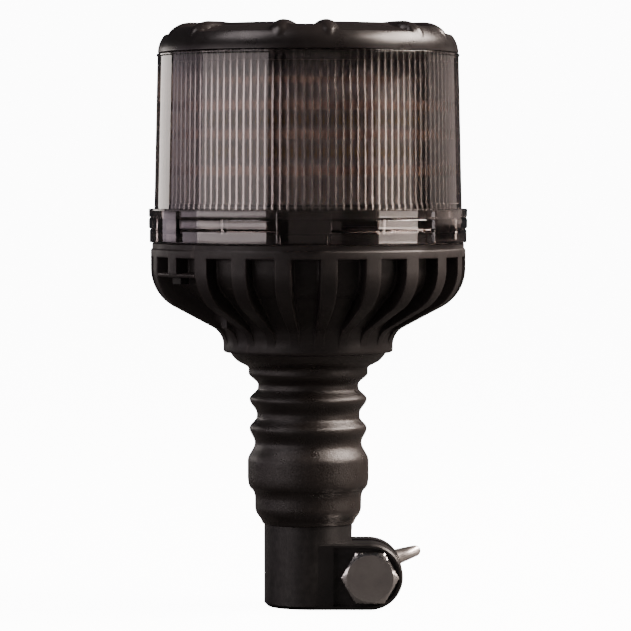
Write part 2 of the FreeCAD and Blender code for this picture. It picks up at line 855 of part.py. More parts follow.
def make_contacts():
    """Insulating carrier in the socket's roof with a sprung plunger and a ring for the pole's end."""
    carrier = new_body("contact_carrier")
    outer = chamber_radius - size.fit
    flange_top = chamber_top - size.fit
    guide_top = carrier_foot + size.contact_guide
    room_top = guide_top + size.spring_room_height
    guide_hole = size.contact_radius + size.contact_slide
    contact_collar_radius = size.contact_radius + size.contact_collar_step
    room_radius = contact_collar_radius + size.spring_room_clearance
    section = [
        (guide_hole, carrier_foot),
        (outer, carrier_foot),
        (outer, flange_top),
        (size.carrier_stem_radius, flange_top),
        (size.carrier_stem_radius, carrier_top),
        (0.0, carrier_top),
        (0.0, room_top),
        (room_radius, room_top),
        (room_radius, guide_top),
        (guide_hole, guide_top),
    ]
    turned(carrier, "plug", section)

    contact = new_body("centre_contact")
    contact_collar_foot = guide_top + size.fit
    contact_collar_top = contact_collar_foot + size.contact_collar_height
    tip = carrier_foot - size.contact_proud
    plunger = [
        (0.0, tip),
        (size.contact_radius - size.contact_point, tip),
        (size.contact_radius, tip + size.contact_point),
        (size.contact_radius, contact_collar_foot),
        (contact_collar_radius, contact_collar_foot),
        (contact_collar_radius, contact_collar_top),
        (0.0, contact_collar_top),
    ]
    turned(contact, "plunger", plunger)

    spring_foot = contact_collar_top + size.fit + size.spring_wire_radius
    spring_rise = room_top - size.fit - size.spring_wire_radius - spring_foot
    helix = doc.addObject("Part::Helix", "contact_spring_path")
    bind(helix, "Pitch", spring_rise / size.spring_turns)
    bind(helix, "Height", spring_rise)
    bind(helix, "Radius", size.spring_radius)
    bind(helix, "Placement.Base.z", spring_foot)
    wire = doc.addObject("Part::RegularPolygon", "contact_spring_section")
    wire.Polygon = 4
    bind(wire, "Circumradius", size.spring_wire_radius)
    wire.Placement.Rotation = FreeCAD.Rotation(FreeCAD.Vector(1, 0, 0), QUARTER_TURN)
    bind(wire, "Placement.Base.x", size.spring_radius)
    bind(wire, "Placement.Base.z", spring_foot)
    doc.recompute()
    spring = doc.addObject("Part::Sweep", "contact_spring")
    spring.Label = "contact_spring"
    spring.Sections = [wire]
    spring.Spine = (helix, [])
    spring.Solid = True
    spring.Frenet = True
    SUB_PARTS.append(spring)

    nut = new_body("carrier_nut")
    sketch = new_sketch(nut, "outline", "XY_Plane", lift=socket_top)
    draw(sketch, polygon(size.carrier_nut_radius))
    draw_circle(sketch, 0.0, 0.0, size.carrier_stem_radius + size.thread_clearance)
    raised(nut, "nut", sketch, size.carrier_nut_height)

    return_ring = new_body("return_contact")
    ring_top = socket_shoulder + size.ring_seat_depth
    ring_foot = ring_top - size.return_ring_thickness
    ring_outer = size.bore_radius - size.ring_ledge - size.fit
    turned(return_ring, "ring", ring(chamber_radius + size.fit, ring_outer, ring_foot, ring_top))


def make_neck():
    """Rubber neck: sleeve and barrel over the socket, three waists, and a bead inside the base."""
    body = new_body("flex_neck")
    flat = size.wave_flat
    low_crest = (low_waist + middle_waist) / 2
    high_crest = (middle_waist + high_waist) / 2
    bead_radius = size.spigot_radius + size.bead_step
    section = [
        (neck_bore, size.neck_foot),
        (sleeve_radius - size.sleeve_bevel, size.neck_foot),
        (sleeve_radius, size.neck_foot + size.sleeve_bevel),
        (sleeve_radius, sleeve_top),
        (barrel_radius - size.barrel_bevel, sleeve_top),
        (barrel_radius, sleeve_top + size.barrel_bevel),
        (barrel_radius, barrel_top + flat),
        (size.low_waist_radius, low_waist - flat),
        (size.low_waist_radius, low_waist + flat),
        (size.crest_radius, low_crest - flat),
        (size.crest_radius, low_crest + flat),
        (size.middle_waist_radius, middle_waist - flat),
        (size.middle_waist_radius, middle_waist + flat),
        (size.crest_radius, high_crest - flat),
        (size.crest_radius, high_crest + flat),
        (size.high_waist_radius, high_waist - flat),
        (size.high_waist_radius, high_waist + flat),
        (size.shoulder_radius, shoulder_foot),
        (size.shoulder_radius, flange_foot),
        (size.flange_radius - size.flange_bevel, flange_foot),
        (size.flange_radius, flange_foot + size.flange_bevel),
        (size.flange_radius, neck_top),
        (size.spigot_radius, neck_top),
        (size.spigot_radius, bead_foot),
        (bead_radius, bead_foot),
        (bead_radius, bead_top),
        (size.neck_hollow_radius, bead_top),
        (size.neck_hollow_radius, socket_top + size.neck_clearance),
        (neck_bore, socket_top + size.neck_clearance),
    ]
    turned(body, "rubber", section)


def make_leads():
    """Two supply wires up the hollow neck to the driver board."""
    start = carrier_top + size.fit
    for label, side in (("live_lead", 1), ("return_lead", -1)):
        body = new_body(label)
        sketch = new_sketch(body, "section", "XY_Plane", lift=start)
        draw_circle(sketch, size.lead_spacing * side, 0.0, size.lead_radius)
        raised(body, "wire", sketch, board_top - size.fit - start)


def bowl_round_line(inset, steps):
    """The bowl's outer round from the band down to the slope, set in by a depth."""
    centre = (size.band_radius - size.bowl_round, bowl_round_level)
    return arc_steps(centre, size.bowl_round - inset, 0.0, size.bowl_slope - QUARTER_TURN, steps)


def bowl_hollow_line(inset):
    """The hollow from the slope down to the neck, set in by a depth that fades out at the neck."""
    centre = (size.bowl_neck_radius + size.bowl_hollow_round, bowl_hollow_foot)
    start = size.bowl_slope + QUARTER_TURN
    hollow = size.bowl_hollow_round
    return arc_steps(centre, hollow + inset, start, HALF_TURN, SMALL_STEPS, hollow)


def make_base():
    """Finned bowl with the rim, bayonet tabs and screw bosses that carry the head."""
    body = new_body("base_housing")
    spigot_hole = size.spigot_radius + size.neck_clearance
    band_foot = base_top - size.band_edge_height
    band_inner = size.band_radius - size.band_edge
    section = [
        (spigot_hole, base_foot),
        (size.bowl_neck_radius - size.foot_bevel, base_foot),
        (size.bowl_neck_radius, base_foot + size.foot_bevel),
        *reversed(bowl_hollow_line(formula(0.0))),
        *reversed(bowl_round_line(formula(0.0), BOWL_STEPS)),
        (size.band_radius, band_foot),
        (band_inner, band_foot + size.band_edge),
        (band_inner, base_top),
        (rim_radius, base_top),
        (rim_radius, rim_top),
        (rim_inner_radius, rim_top),
        (rim_inner_radius, plate_foot),
        (inner_bowl_radius, plate_foot),
        (inner_bowl_radius, inner_slope_top),
        (inner_neck_radius, inner_level),
        (inner_neck_radius, base_floor),
        (spigot_hole, base_floor),
    ]
    turned(body, "bowl", section)

    far = size.band_radius + OVERSHOOT
    floor = bowl_round_line(size.pocket_depth, SMALL_STEPS)
    fade = bowl_hollow_line(size.pocket_fade)
    pocket_foot = bowl_hollow_foot + size.fit
    pocket = [
        (far, pocket_foot),
        (far, pocket_top),
        (size.band_radius - size.pocket_depth, pocket_top),
        *floor,
        *fade[:-1],
        (size.bowl_neck_radius - size.fit, pocket_foot),
    ]
    middle = size.rib_azimuth + rib_pitch / 2
    cut = turned(body, "pocket", pocket, cut=True, azimuth=middle, sweep=rib_pitch - size.rib_angle)
    around(body, "pockets", [cut], size.rib_count)

    # The rib in front of the lock screw stops at a shelf, with a deeper recess below it.
    wide = rib_pitch * 2 - size.rib_angle
    shelf = ring(recess_reach, shelf_reach, shelf_foot, shelf_top)
    turned(body, "shelf", shelf, azimuth=short_rib_azimuth, sweep=wide)
    recess_foot = fade[0][1] - size.recess_drop
    recess_end = fade[0][0] - size.recess_extra_depth
    recess = [
        (far, recess_foot),
        (far, shelf_foot),
        (recess_reach, shelf_foot),
        (floor[-1][0] - size.recess_extra_depth, floor[-1][1]),
        (recess_end, fade[0][1]),
        (recess_end, recess_foot),
    ]
    turned(body, "recess", recess, cut=True, azimuth=short_rib_azimuth, sweep=wide)

    tab = ring(rim_inner_radius, rim_radius + size.tab_reach, tab_foot, tab_top)
    tab_azimuth = size.lens_azimuth + size.tab_azimuth
    single = turned(body, "tab", tab, azimuth=tab_azimuth, sweep=size.tab_half_angle * 2)
    around(body, "tabs", [single], size.tab_count)
    hex_posts(body, "boss", boss_reach, inner_level, board_foot - inner_level, size.boss_radius,
              SCREWS_IN_RING, 0.0)


def make_neck_clamp():
    """Ring, screws and grommet on the floor of the base."""
    body = new_body("neck_clamp_ring")
    outer = inner_neck_radius - size.clamp_ring_clearance
    turned(body, "disc", ring(size.clamp_ring_hole_radius, outer, clamp_ring_foot, clamp_ring_top))
    screw_heads("clamp_ring_screws", inner_neck_radius - size.clamp_screw_inset - size.clamp_ring_clearance,
                clamp_ring_top, SCREWS_IN_RING, SIXTH_TURN)

    grommet = new_body("lead_grommet")
    plug = size.clamp_ring_hole_radius - size.fit
    sketch = new_sketch(grommet, "outline", "XY_Plane", lift=clamp_ring_foot)
    draw_circle(sketch, 0.0, 0.0, plug)
    for side in (1, -1):
        draw_circle(sketch, size.lead_spacing * side, 0.0, size.lead_radius + size.fit)
    raised(grommet, "plug", sketch, size.clamp_ring_thickness + size.grommet_rise)


def make_lens_hold():
    """Lock screw under the short rib's shelf, and the seal on the rim."""
    reach = (recess_reach + shelf_reach) / 2
    screw_heads("lens_lock_screw", reach, shelf_foot - size.screw_head_height, 1, short_rib_azimuth)
    seal = new_body("lens_seal")
    turned(seal, "ring", ring(rim_inner_radius, rim_radius, rim_top, rim_top + size.seal_height))


def make_driver():
    """Driver board on its bosses, with the parts that feed the light tower."""
    part_reach = board_radius - size.part_inset
    board = new_body("driver_board")
    turned(board, "disc", ring(size.board_hole_radius, board_radius, board_foot, board_top))
    screw_heads("board_screws", boss_reach, board_top, SCREWS_IN_RING, 0.0)

    capacitors = new_body("capacitors")
    sketch = new_sketch(capacitors, "cans", "XY_Plane", lift=board_top)
    spacing = size.capacitor_radius + size.capacitor_gap / 2
    for side in (1, -1):
        draw_circle(sketch, spacing * side, part_reach, size.capacitor_radius)
    raised(capacitors, "cans_pad", sketch, size.capacitor_height)

    inductor = new_body("inductor")
    sketch = new_sketch(inductor, "outline", "XY_Plane", lift=board_top)
    draw(sketch, box(size.inductor_width, size.inductor_width, -part_reach))
    raised(inductor, "block", sketch, size.inductor_height)

    chips = new_body("driver_chips")
    sketch = new_sketch(chips, "outlines", "XY_Plane", lift=board_top)
    spacing = (size.chip_width + size.chip_gap) / 2
    for side in (1, -1):
        draw(sketch, box(size.chip_width, size.chip_width, part_reach, spacing * side))
    raised(chips, "blocks", sketch, size.chip_height)

    terminal = new_body("terminal_block")
    sketch = new_sketch(terminal, "outline", "XY_Plane", lift=board_top)
    draw(sketch, box(size.terminal_width, size.terminal_depth))
    raised(terminal, "block", sketch, size.terminal_height)


def make_tower():
    """Light tower: plate, six-sided core with a board on each face, and three stacked reflectors."""
    plate = new_body("chassis_plate")
    turned(plate, "disc", ring(size.plate_hole_radius, plate_radius, plate_foot, plate_top))
    screw_heads("plate_screws", plate_radius - size.plate_screw_inset, plate_top,
                size.plate_screw_count, EIGHTH_TURN)

    core = new_body("light_core")
    sketch = new_sketch(core, "outline", "XY_Plane", lift=plate_top)
    draw(sketch, polygon(size.core_flat_radius))
    draw_circle(sketch, 0.0, 0.0, size.core_bore_radius)
    raised(core, "column", sketch, size.core_height)
    screw_heads("core_screws", size.core_screw_reach, plate_foot - size.screw_head_height,
                SCREWS_IN_RING, 0.0)

    board_face = size.core_flat_radius + size.led_board_thickness
    board_height = size.core_height - size.led_board_foot - size.led_board_headroom
    board_middle = plate_top + size.led_board_foot + board_height / 2
    thick = size.reflector_thickness
    low_reflector = plate_top + size.core_height * size.low_reflector_share
    middle_reflector = plate_top + size.core_height * size.middle_reflector_share
    high_reflector = plate_top + size.core_height * size.high_reflector_share
    low_row = (low_reflector + thick + middle_reflector) / 2
    high_row = (middle_reflector + thick + high_reflector) / 2
    for face in range(CORE_FACES):
        board = new_body(f"led_board_{face + 1}")
        sketch = new_sketch(board, "outline", lift=size.core_flat_radius)
        draw(sketch, box(size.led_board_width, board_height, 0.0, board_middle))
        raised(board, "panel", sketch, size.led_board_thickness)
        emitters = new_body(f"led_emitters_{face + 1}")
        sketch = new_sketch(emitters, "packages", lift=board_face)
        for row in (low_row, high_row):
            for column in (-1, 0, 1):
                draw(sketch, box(size.led_width, size.led_width, size.led_pitch * column, row))
        raised(emitters, "packages_pad", sketch, size.led_height)
        for body in (board, emitters):
            body.Placement.Rotation = FreeCAD.Rotation(FreeCAD.Vector(0, 0, 1), SIXTH_TURN * face)

    opening = board_face + size.reflector_clearance
    levels = [
        ("reflector_lower", low_reflector),
        ("reflector_middle", middle_reflector),
        ("reflector_upper", high_reflector),
    ]
    for label, level in levels:
        reflector = new_body(label)
        turned(reflector, "disc", ring(size.core_flat_radius, size.reflector_radius, level, level + thick))
        sketch = new_sketch(reflector, "opening_outline", "XY_Plane", lift=level)
        draw(sketch, polygon(opening))
        raised(reflector, "opening", sketch, thick * 4, cut=True, both_ways=True)

    stretches = [
        ("spacers_lower", plate_top, low_reflector),
        ("spacers_middle", low_reflector + thick, middle_reflector),
        ("spacers_upper", middle_reflector + thick, high_reflector),
        ("spacers_top", high_reflector + thick, core_top),
    ]
    for label, foot, top in stretches:
        body = new_body(label)
        hex_posts(body, "posts", size.post_reach, foot, top - foot, size.post_radius,
                  POSTS_IN_RING, POST_AZIMUTH)

    cover = new_body("tower_plate")
    cover_corners = [(0.0, core_top), (size.tower_plate_radius, core_top),
                     (size.tower_plate_radius, tower_plate_top), (0.0, tower_plate_top)]
    turned(cover, "disc", cover_corners)
    nuts = new_body("tie_nuts")
    hex_posts(nuts, "nuts", size.post_reach, tower_plate_top, size.post_nut_height, size.post_radius,
              POSTS_IN_RING, POST_AZIMUTH)


def make_lens():
    """Smoked cylinder, fluted inside, with a grooved bayonet collar and six raised pads."""
    body = new_body("lens")
    lip_top = tab_foot - size.tab_gap
    shelf = tab_top + size.tab_room
    step_level = rim_top + size.seal_height + size.fit
    lower = collar_radius - size.collar_lower_step
    groove = size.collar_groove
    low_groove = lens_foot + size.collar_groove_level
    high_groove = low_groove + size.collar_groove_spacing
    section = [
        (seal_bore, lens_foot),
        (lower, lens_foot),
        (lower, low_groove - groove),
        (lower - groove, low_groove),
        (collar_radius, low_groove + groove),
        (collar_radius, high_groove - groove),
        (collar_radius - groove, high_groove),
        (collar_radius, high_groove + groove),
        (collar_radius, collar_top),
        (lens_foot_radius, collar_top),
        (lens_top_radius, lens_top),
        (flute_bore, lens_top),
        (flute_bore, step_level),
        (seal_bore, step_level),
        (seal_bore, shelf),
        (groove_bore, shelf),
        (groove_bore, lip_top),
        (seal_bore, lip_top),
    ]
    turned(body, "wall", section)

    pad_root = lower - groove * 2
    pad = ring(pad_root, collar_radius + size.pad_proud, lens_foot + size.pad_margin,
               collar_top - size.pad_margin)
    azimuth = size.lens_azimuth
    single = turned(body, "pad", pad, azimuth=azimuth, sweep=size.pad_half_angle * 2)
    around(body, "pads", [single], size.tab_count)

    entry = ring(seal_bore - OVERSHOOT, groove_bore, lens_foot - OVERSHOOT, lip_top + size.tab_gap)
    entry_sweep = (size.tab_half_angle + size.entry_margin) * 2
    single = turned(body, "entry", entry, cut=True, azimuth=azimuth, sweep=entry_sweep)
    around(body, "entries", [single], size.tab_count)

    stop = ring(seal_bore, groove_bore + size.fit, lip_top - size.fit, shelf + size.fit)
    stop_azimuth = (azimuth + size.tab_azimuth + size.tab_half_angle + size.stop_clearance
                    + size.stop_angle / 2)
    single = turned(body, "stop", stop, azimuth=stop_azimuth, sweep=size.stop_angle)
    around(body, "stops", [single], size.tab_count)

    flute_foot = step_level - OVERSHOOT
    sketch = new_sketch(body, "flute_outline", "XY_Plane", azimuth=0.0, lift=flute_foot)
    inside = flute_bore - size.flute_depth
    flute = [
        (flute_bore + size.flute_depth, 0.0),
        (inside, size.flute_width),
        (inside, -size.flute_width),
    ]
    draw(sketch, flute)
    single = raised(body, "flute", sketch, lens_top + OVERSHOOT - flute_foot, cut=True, backwards=True)
    single.Refine = False
    around(body, "flutes", [single], size.flute_count)


def make_cap():
    """Domed cap with six pairs of ridges, a valley in each pair and a panel between the pairs."""
    body = new_body("top_cap")
    spigot = flute_bore - size.cap_spigot_clearance
    spigot_foot = lens_top - size.cap_spigot_height
    crown = cap_radius - size.cap_round
    dome = [
        (0.0, spigot_foot),
        (spigot, spigot_foot),
        (spigot, cap_foot),
        *arc_steps((crown, cap_foot), size.cap_round, 0.0, QUARTER_TURN, CAP_STEPS),
        (0.0, cap_top),
    ]
    turned(body, "dome", dome)

    far = cap_radius + OVERSHOOT
    valley = ring(cap_radius - size.valley_length, far, cap_top - size.valley_depth, cap_top + OVERSHOOT)
    single = turned(body, "valley", valley, cut=True, azimuth=size.lens_azimuth,
                    sweep=size.valley_half_angle * 2)
    around(body, "valleys", [single], size.tab_count)
    panel_inner = cap_radius - size.panel_length
    panel_floor = cap_top - size.panel_depth
    panel = [
        (panel_inner, panel_floor),
        (far, panel_floor - (far - panel_inner) * tangent(size.panel_slope)),
        (far, cap_top + OVERSHOOT),
        (panel_inner, cap_top + OVERSHOOT),
    ]
    single = turned(body, "panel", panel, cut=True, azimuth=size.lens_azimuth + HALF_TURN / size.tab_count,
                    sweep=size.panel_half_angle * 2)
    around(body, "panels", [single], size.tab_count)

    # Each ridge rises out of the roof, follows the dome's round and fades out on it.
    ridge_outer = crown + size.cap_round * cosine(size.ridge_end)
    ridge_inner = ridge_outer - size.ridge_length
    ridge_top = cap_top + size.ridge_proud
    ridge_round = size.cap_round + size.ridge_proud
    ridge = [
        (ridge_inner, ridge_top - size.ridge_radius),
        (ridge_inner, cap_top - size.ridge_sink),
        ((ridge_inner + ridge_outer) / 2, ridge_top),
        *arc_steps((crown, cap_foot), ridge_round, QUARTER_TURN, size.ridge_shoulder, RIDGE_STEPS),
        (ridge_outer, cap_foot + size.cap_round * sine(size.ridge_end)),
    ]
    ridges = []
    for name, side in (("left_ridge", -1), ("right_ridge", 1)):
        azimuth = size.lens_azimuth + size.ridge_spread * side
        ridges.append(turned(body, name, ridge, azimuth=azimuth, axis=(ridge[0], ridge[-1])))
    around(body, "ridges", ridges, size.tab_count)

    wall = spigot - size.cap_wall
    roof = cap_foot + size.cap_round * size.cap_roof_share
    inside = [
        (0.0, spigot_foot - OVERSHOOT),
        (wall, spigot_foot - OVERSHOOT),
        (wall, roof),
        (0.0, roof),
    ]
    turned(body, "inside", inside, cut=True)


make_pole_socket()
make_bolt()
make_wing_nut()
make_contacts()
make_neck()
make_leads()
make_base()
make_neck_clamp()
make_lens_hold()
make_driver()
make_tower()
make_lens()
make_cap()
doc.recompute()

for item in doc.Objects:
    if "Invalid" in item.State or "Error" in item.State:
        raise RuntimeError(f"{item.Name} could not be made: {item.State}")
for part in SUB_PARTS:
    if part.Shape.isNull() or not part.Shape.isValid():
        raise RuntimeError(f"{part.Label} has no sound shape")

os.makedirs("parts", exist_ok=True)
for part in SUB_PARTS:
    part.Shape.exportStep(f"parts/{part.Label}.step")
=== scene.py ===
"""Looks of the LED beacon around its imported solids. Profiles are in millimetres, meshes in metres.

An azimuth is measured from the front, -Y, and grows towards +X.
"""

import math

import bmesh
import bpy
import numpy as np
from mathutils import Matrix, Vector


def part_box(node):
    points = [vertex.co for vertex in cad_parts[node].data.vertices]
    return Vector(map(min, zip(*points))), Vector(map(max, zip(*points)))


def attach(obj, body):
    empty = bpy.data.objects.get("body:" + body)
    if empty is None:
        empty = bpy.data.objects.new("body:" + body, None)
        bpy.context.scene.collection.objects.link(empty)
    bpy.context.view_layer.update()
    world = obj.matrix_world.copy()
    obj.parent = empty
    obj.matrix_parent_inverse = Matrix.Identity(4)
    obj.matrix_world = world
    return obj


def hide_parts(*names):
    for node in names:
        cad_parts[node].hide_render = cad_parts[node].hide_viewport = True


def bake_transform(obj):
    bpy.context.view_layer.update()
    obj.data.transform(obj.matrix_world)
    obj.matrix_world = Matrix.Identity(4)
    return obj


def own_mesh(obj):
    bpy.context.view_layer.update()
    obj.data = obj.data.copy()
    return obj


bl_info = {
    "name": "LED beacon",
    "version": (1, 0, 0),
    "blender": (4, 5, 0),
    "location": "View3D > Sidebar > Beacon",
    "description": "Dresses the packed solids of an LED beacon on a flexible pole mount",
    "category": "Object",
}

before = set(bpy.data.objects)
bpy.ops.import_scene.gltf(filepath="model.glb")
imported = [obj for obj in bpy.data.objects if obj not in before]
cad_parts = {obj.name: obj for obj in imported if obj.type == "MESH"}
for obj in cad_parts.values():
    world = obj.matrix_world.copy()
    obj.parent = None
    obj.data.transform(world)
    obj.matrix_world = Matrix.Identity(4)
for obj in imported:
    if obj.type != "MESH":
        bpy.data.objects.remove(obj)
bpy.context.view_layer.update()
MM = 0.001
TURN = 2.0 * math.pi
QUARTER = TURN / 4.0
SIXTH = TURN / 6.0
# Azimuth of the lens's first pad and of the middle of the cap's ridges over it.
PAD_AZIMUTH = math.radians(-1.4)


def low(node):
    """Lowest corner of a CAD node in millimetres."""
    return np.array(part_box(node)[0]) / MM


def high(node):
    """Highest corner of a CAD node in millimetres."""
    return np.array(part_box(node)[1]) / MM


def middle_of(node):
    """Middle of a CAD node's box in millimetres."""
    return (low(node) + high(node)) / 2


def length(name, about, default):
    """A size in metres that the sidebar shows as a length."""
    return bpy.props.FloatProperty(
        name=name, description=about, default=default, unit="LENGTH", precision=5
    )


def angle_size(name, about, degrees):
    """An angle that the sidebar shows in degrees."""
    return bpy.props.FloatProperty(
        name=name, description=about, default=math.radians(degrees), subtype="ANGLE"
    )


def tint(name, about, default):
    """A colour that the sidebar shows as a swatch."""
    return bpy.props.FloatVectorProperty(
        name=name, description=about, default=default, size=3, min=0.0, max=1.0, subtype="COLOR"
    )


class BeaconSizes(bpy.types.PropertyGroup):
    """Sizes of the moulded detail that a user would change."""

    flute_count: bpy.props.IntProperty(name="Flutes", description="Flutes inside the lens", default=126)
    flute_depth: length("Flute depth", "Depth of a flute inside the lens", 0.0008)
    pad_proud: length("Pad height", "How far a pad stands off the lens collar", 0.0012)
    ridge_radius: length("Ridge radius", "Radius of a ridge on the cap", 0.0042)
    ridge_proud: length("Ridge height", "How far a ridge stands above the cap", 0.00055)
    panel_depth: length("Panel depth", "Depth of the step that a sunk panel of the cap starts with", 0.0005)
    panel_slope: angle_size("Panel slope", "Fall of a sunk panel outward", 14.0)
    valley_depth: length("Valley depth", "Depth of the cap between two ridges", 0.0012)
    rib_count: bpy.props.IntProperty(name="Ribs", description="Ribs around the bowl", default=22)
    rib_angle: angle_size("Rib angle", "Angle that a rib takes up", 6.0)
    pocket_depth: length("Pocket depth", "Depth of the pockets between the ribs", 0.0049)
    thread_pitch: length("Thread pitch", "Rise of the bolt's thread in one turn", 0.0015)
    thread_depth: length("Thread depth", "Depth of the bolt's thread", 0.0007)
    spring_turns: bpy.props.FloatProperty(
        name="Spring turns", description="Turns of the contact spring", default=5.0
    )


class BeaconColours(bpy.types.PropertyGroup):
    """Colours of the finishes."""

    cap: tint("Cap", "Satin plastic of the cap", (0.0125, 0.0104, 0.0101))
    bowl: tint("Bowl", "Matt plastic of the finned bowl", (0.0165, 0.0134, 0.0129))
    rubber: tint("Rubber", "Rubber of the flexible neck", (0.0185, 0.0152, 0.0136))
    socket: tint("Socket", "Plastic of the pole socket", (0.0085, 0.0077, 0.0078))
    lens: tint("Lens", "Smoked clear plastic of the lens", (0.51, 0.452, 0.432))
    steel: tint("Steel", "Stainless steel of the clamp", (0.55, 0.535, 0.525))
    cast: tint("Cast steel", "Duller steel of the wing nut", (0.80, 0.76, 0.73))
    copper: tint("Reflector", "Warm bright plating of the reflectors", (0.52, 0.42, 0.37))
    brass: tint("Brass", "Brass of the contacts", (0.72, 0.50, 0.22))
    board: tint("Board", "Solder mask of the driver board", (0.015, 0.085, 0.035))
    floor: tint("Floor", "Pale floor and backdrop", (0.86, 0.86, 0.87))


def sizes():
    """Sizes as the sidebar has them."""
    return bpy.context.scene.beacon_sizes


def colours():
    """Colours as the sidebar has them."""
    return bpy.context.scene.beacon_colours


# Arrays that the surfaces are made of
CORNER_SHARE = 0.45
# Points nearer than this are one point, in millimetres
SAME_POINT = 1e-6


def soft_corners(corners, reach, steps, closed=True):
    """Rounds each corner of an outline with the curve (1-t)^2 a + 2t(1-t) c + t^2 b.

    a and b lie on the two sides at the corner's reach from it, at most a set share of a side.
    """
    corners = np.asarray(corners, float)
    before = np.roll(corners, 1, axis=0) - corners
    after = np.roll(corners, -1, axis=0) - corners
    reach = np.broadcast_to(np.asarray(reach, float), len(corners)).copy()
    if not closed:
        before[0] = after[0]
        after[-1] = before[-1]
        reach[0] = 0.0
        reach[-1] = 0.0
    long_before = np.linalg.norm(before, axis=1)
    long_after = np.linalg.norm(after, axis=1)
    reach = np.minimum(reach, CORNER_SHARE * np.minimum(long_before, long_after))[:, None, None]
    first = corners[:, None] + before[:, None] / long_before[:, None, None] * reach
    last = corners[:, None] + after[:, None] / long_after[:, None, None] * reach
    t = np.linspace(0.0, 1.0, steps)[None, :, None]
    curve = (1 - t) ** 2 * first + 2 * t * (1 - t) * corners[:, None] + t**2 * last
    line = curve.reshape(-1, 2)
    return line[np.r_[True, np.linalg.norm(np.diff(line, axis=0), axis=1) > SAME_POINT]]


def spread(line, step):
    """Adds even points to each side of an open line that is longer than a step."""
    side = np.diff(line, axis=0)
    count = np.maximum(1, np.ceil(np.linalg.norm(side, axis=1) / step).astype(int))
    owner = np.repeat(np.arange(len(side)), count)
    place = np.arange(count.sum()) - np.repeat(np.cumsum(count) - count, count)
    share = (place / count[owner])[:, None]
    return np.vstack([line[owner] + side[owner] * share, line[-1:]])


def arc(centre, radius, first, last, steps):
    """Points of a circle's arc between two angles in degrees."""
    angle = np.radians(np.linspace(first, last, steps))
    return np.stack([centre[0] + radius * np.cos(angle), centre[1] + radius * np.sin(angle)], axis=1)


def upright(radius, heights):
    """Points of an upright line at a radius."""
    return np.stack([np.full(len(heights), radius), heights], axis=1)


def outward(line):
    """Unit normal at each point of a line, a quarter turn clockwise from its run."""
    run = np.gradient(line, axis=0)
    run = run / np.linalg.norm(run, axis=1)[:, None]
    return np.stack([run[:, 1], -run[:, 0]], axis=1)


def step_up(value, edge, width):
    """Smooth step from 0 to 1 about an edge: 3t^2 - 2t^3 over a width."""
    t = np.clip((value - edge) / width + 0.5, 0.0, 1.0)
    return t * t * (3.0 - 2.0 * t)


def within(value, reach, width):
    """1 up to a reach on both sides of nothing and 0 past it, with a smooth step at each edge."""
    return 1.0 - step_up(np.abs(value), reach, width)


def near(angle, centre, pitch):
    """Signed angle from the nearest of the places that repeat at a pitch."""
    return (angle - centre + pitch / 2) % pitch - pitch / 2


def even(count):
    """Even shares of a pitch, from its start."""
    return np.linspace(0.0, 1.0, count, endpoint=False)


def repeated(pattern, count, start):
    """Angles of one pattern, given as shares of a pitch, repeated around the axis, as a column."""
    pitch = TURN / count
    places = start + pitch * (np.arange(count)[:, None] + np.asarray(pattern)[None, :])
    return places.reshape(-1, 1)


def full_turn(count):
    """Even angles around a full turn, as a column."""
    return np.linspace(0.0, TURN, count, endpoint=False)[:, None]


def about_axis(radius, height, angle):
    """Points at a radius, height and azimuth: x = r sin a, y = -r cos a, z = h."""
    radius, height, angle = np.broadcast_arrays(radius, height, angle)
    return np.stack([radius * np.sin(angle), -radius * np.cos(angle), height], axis=-1) * MM


def along_bolt(radius, travel, angle):
    """Points about the bolt's line, which runs along +Y through the ears."""
    middle = middle_of("clamp_washer")
    radius, travel, angle = np.broadcast_arrays(radius, travel, angle)
    across = middle[0] + radius * np.cos(angle)
    up = middle[2] + radius * np.sin(angle)
    return np.stack([across, travel, up], axis=-1) * MM


def tube(path, radius, sides):
    """Round tube: at each point of the path a circle in the plane across the path's run."""
    steep = 0.9
    run = np.gradient(path, axis=0)
    run = run / np.linalg.norm(run, axis=1)[:, None]
    helper = np.where(np.abs(run[:, 2:]) < steep, [[0.0, 0.0, 1.0]], [[1.0, 0.0, 0.0]])
    first = np.cross(run, helper)
    first = first / np.linalg.norm(first, axis=1)[:, None]
    second = np.cross(run, first)
    angle = full_turn(sides)[..., None]
    ring = first[None] * np.cos(angle) + second[None] * np.sin(angle)
    reach = np.broadcast_to(radius, len(path))[None, :, None]
    return path[None] + ring * reach


# Meshes, with distances in metres
MERGE_REACH = 1e-7
SLIVER = 1e-8


def numbers_of(points):
    """Number of each point of a grid."""
    return np.arange(points[..., 0].size).reshape(points.shape[:-1])


def grid_quads(index, loop):
    """Quads between neighbours of a grid whose rows close around, and columns too where loop is true."""
    after = np.roll(index, -1, axis=-2)
    beside = np.roll(index, -1, axis=-1)
    quads = np.stack([index, after, np.roll(after, -1, axis=-1), beside], axis=-1)
    last = index.shape[-1] if loop else index.shape[-1] - 1
    return quads[..., :last, :].reshape(-1, 4)


def other_side(quads):
    """The same quads seen from their other side, each from its own first corner."""
    return np.roll(quads[:, ::-1], 1, axis=1)


def piece_of(name, points, faces, sharp=None):
    """Object of one mesh, with the points that meet at a pole merged.

    It is smooth up to a sharp angle in degrees, or flat where none is given.
    """
    mesh = bpy.data.meshes.new(name)
    mesh.from_pydata(points.reshape(-1, 3).tolist(), [], faces)
    merge = bmesh.new()
    merge.from_mesh(mesh)
    bmesh.ops.remove_doubles(merge, verts=merge.verts, dist=MERGE_REACH)
    bmesh.ops.dissolve_degenerate(merge, edges=merge.edges, dist=SLIVER)
    merge.to_mesh(mesh)
    merge.free()
    if sharp is not None:
        mesh.shade_smooth()
        mesh.set_sharp_from_angle(angle=math.radians(sharp))
    piece = bpy.data.objects.new(name, mesh)
    bpy.context.scene.collection.objects.link(piece)
    return piece


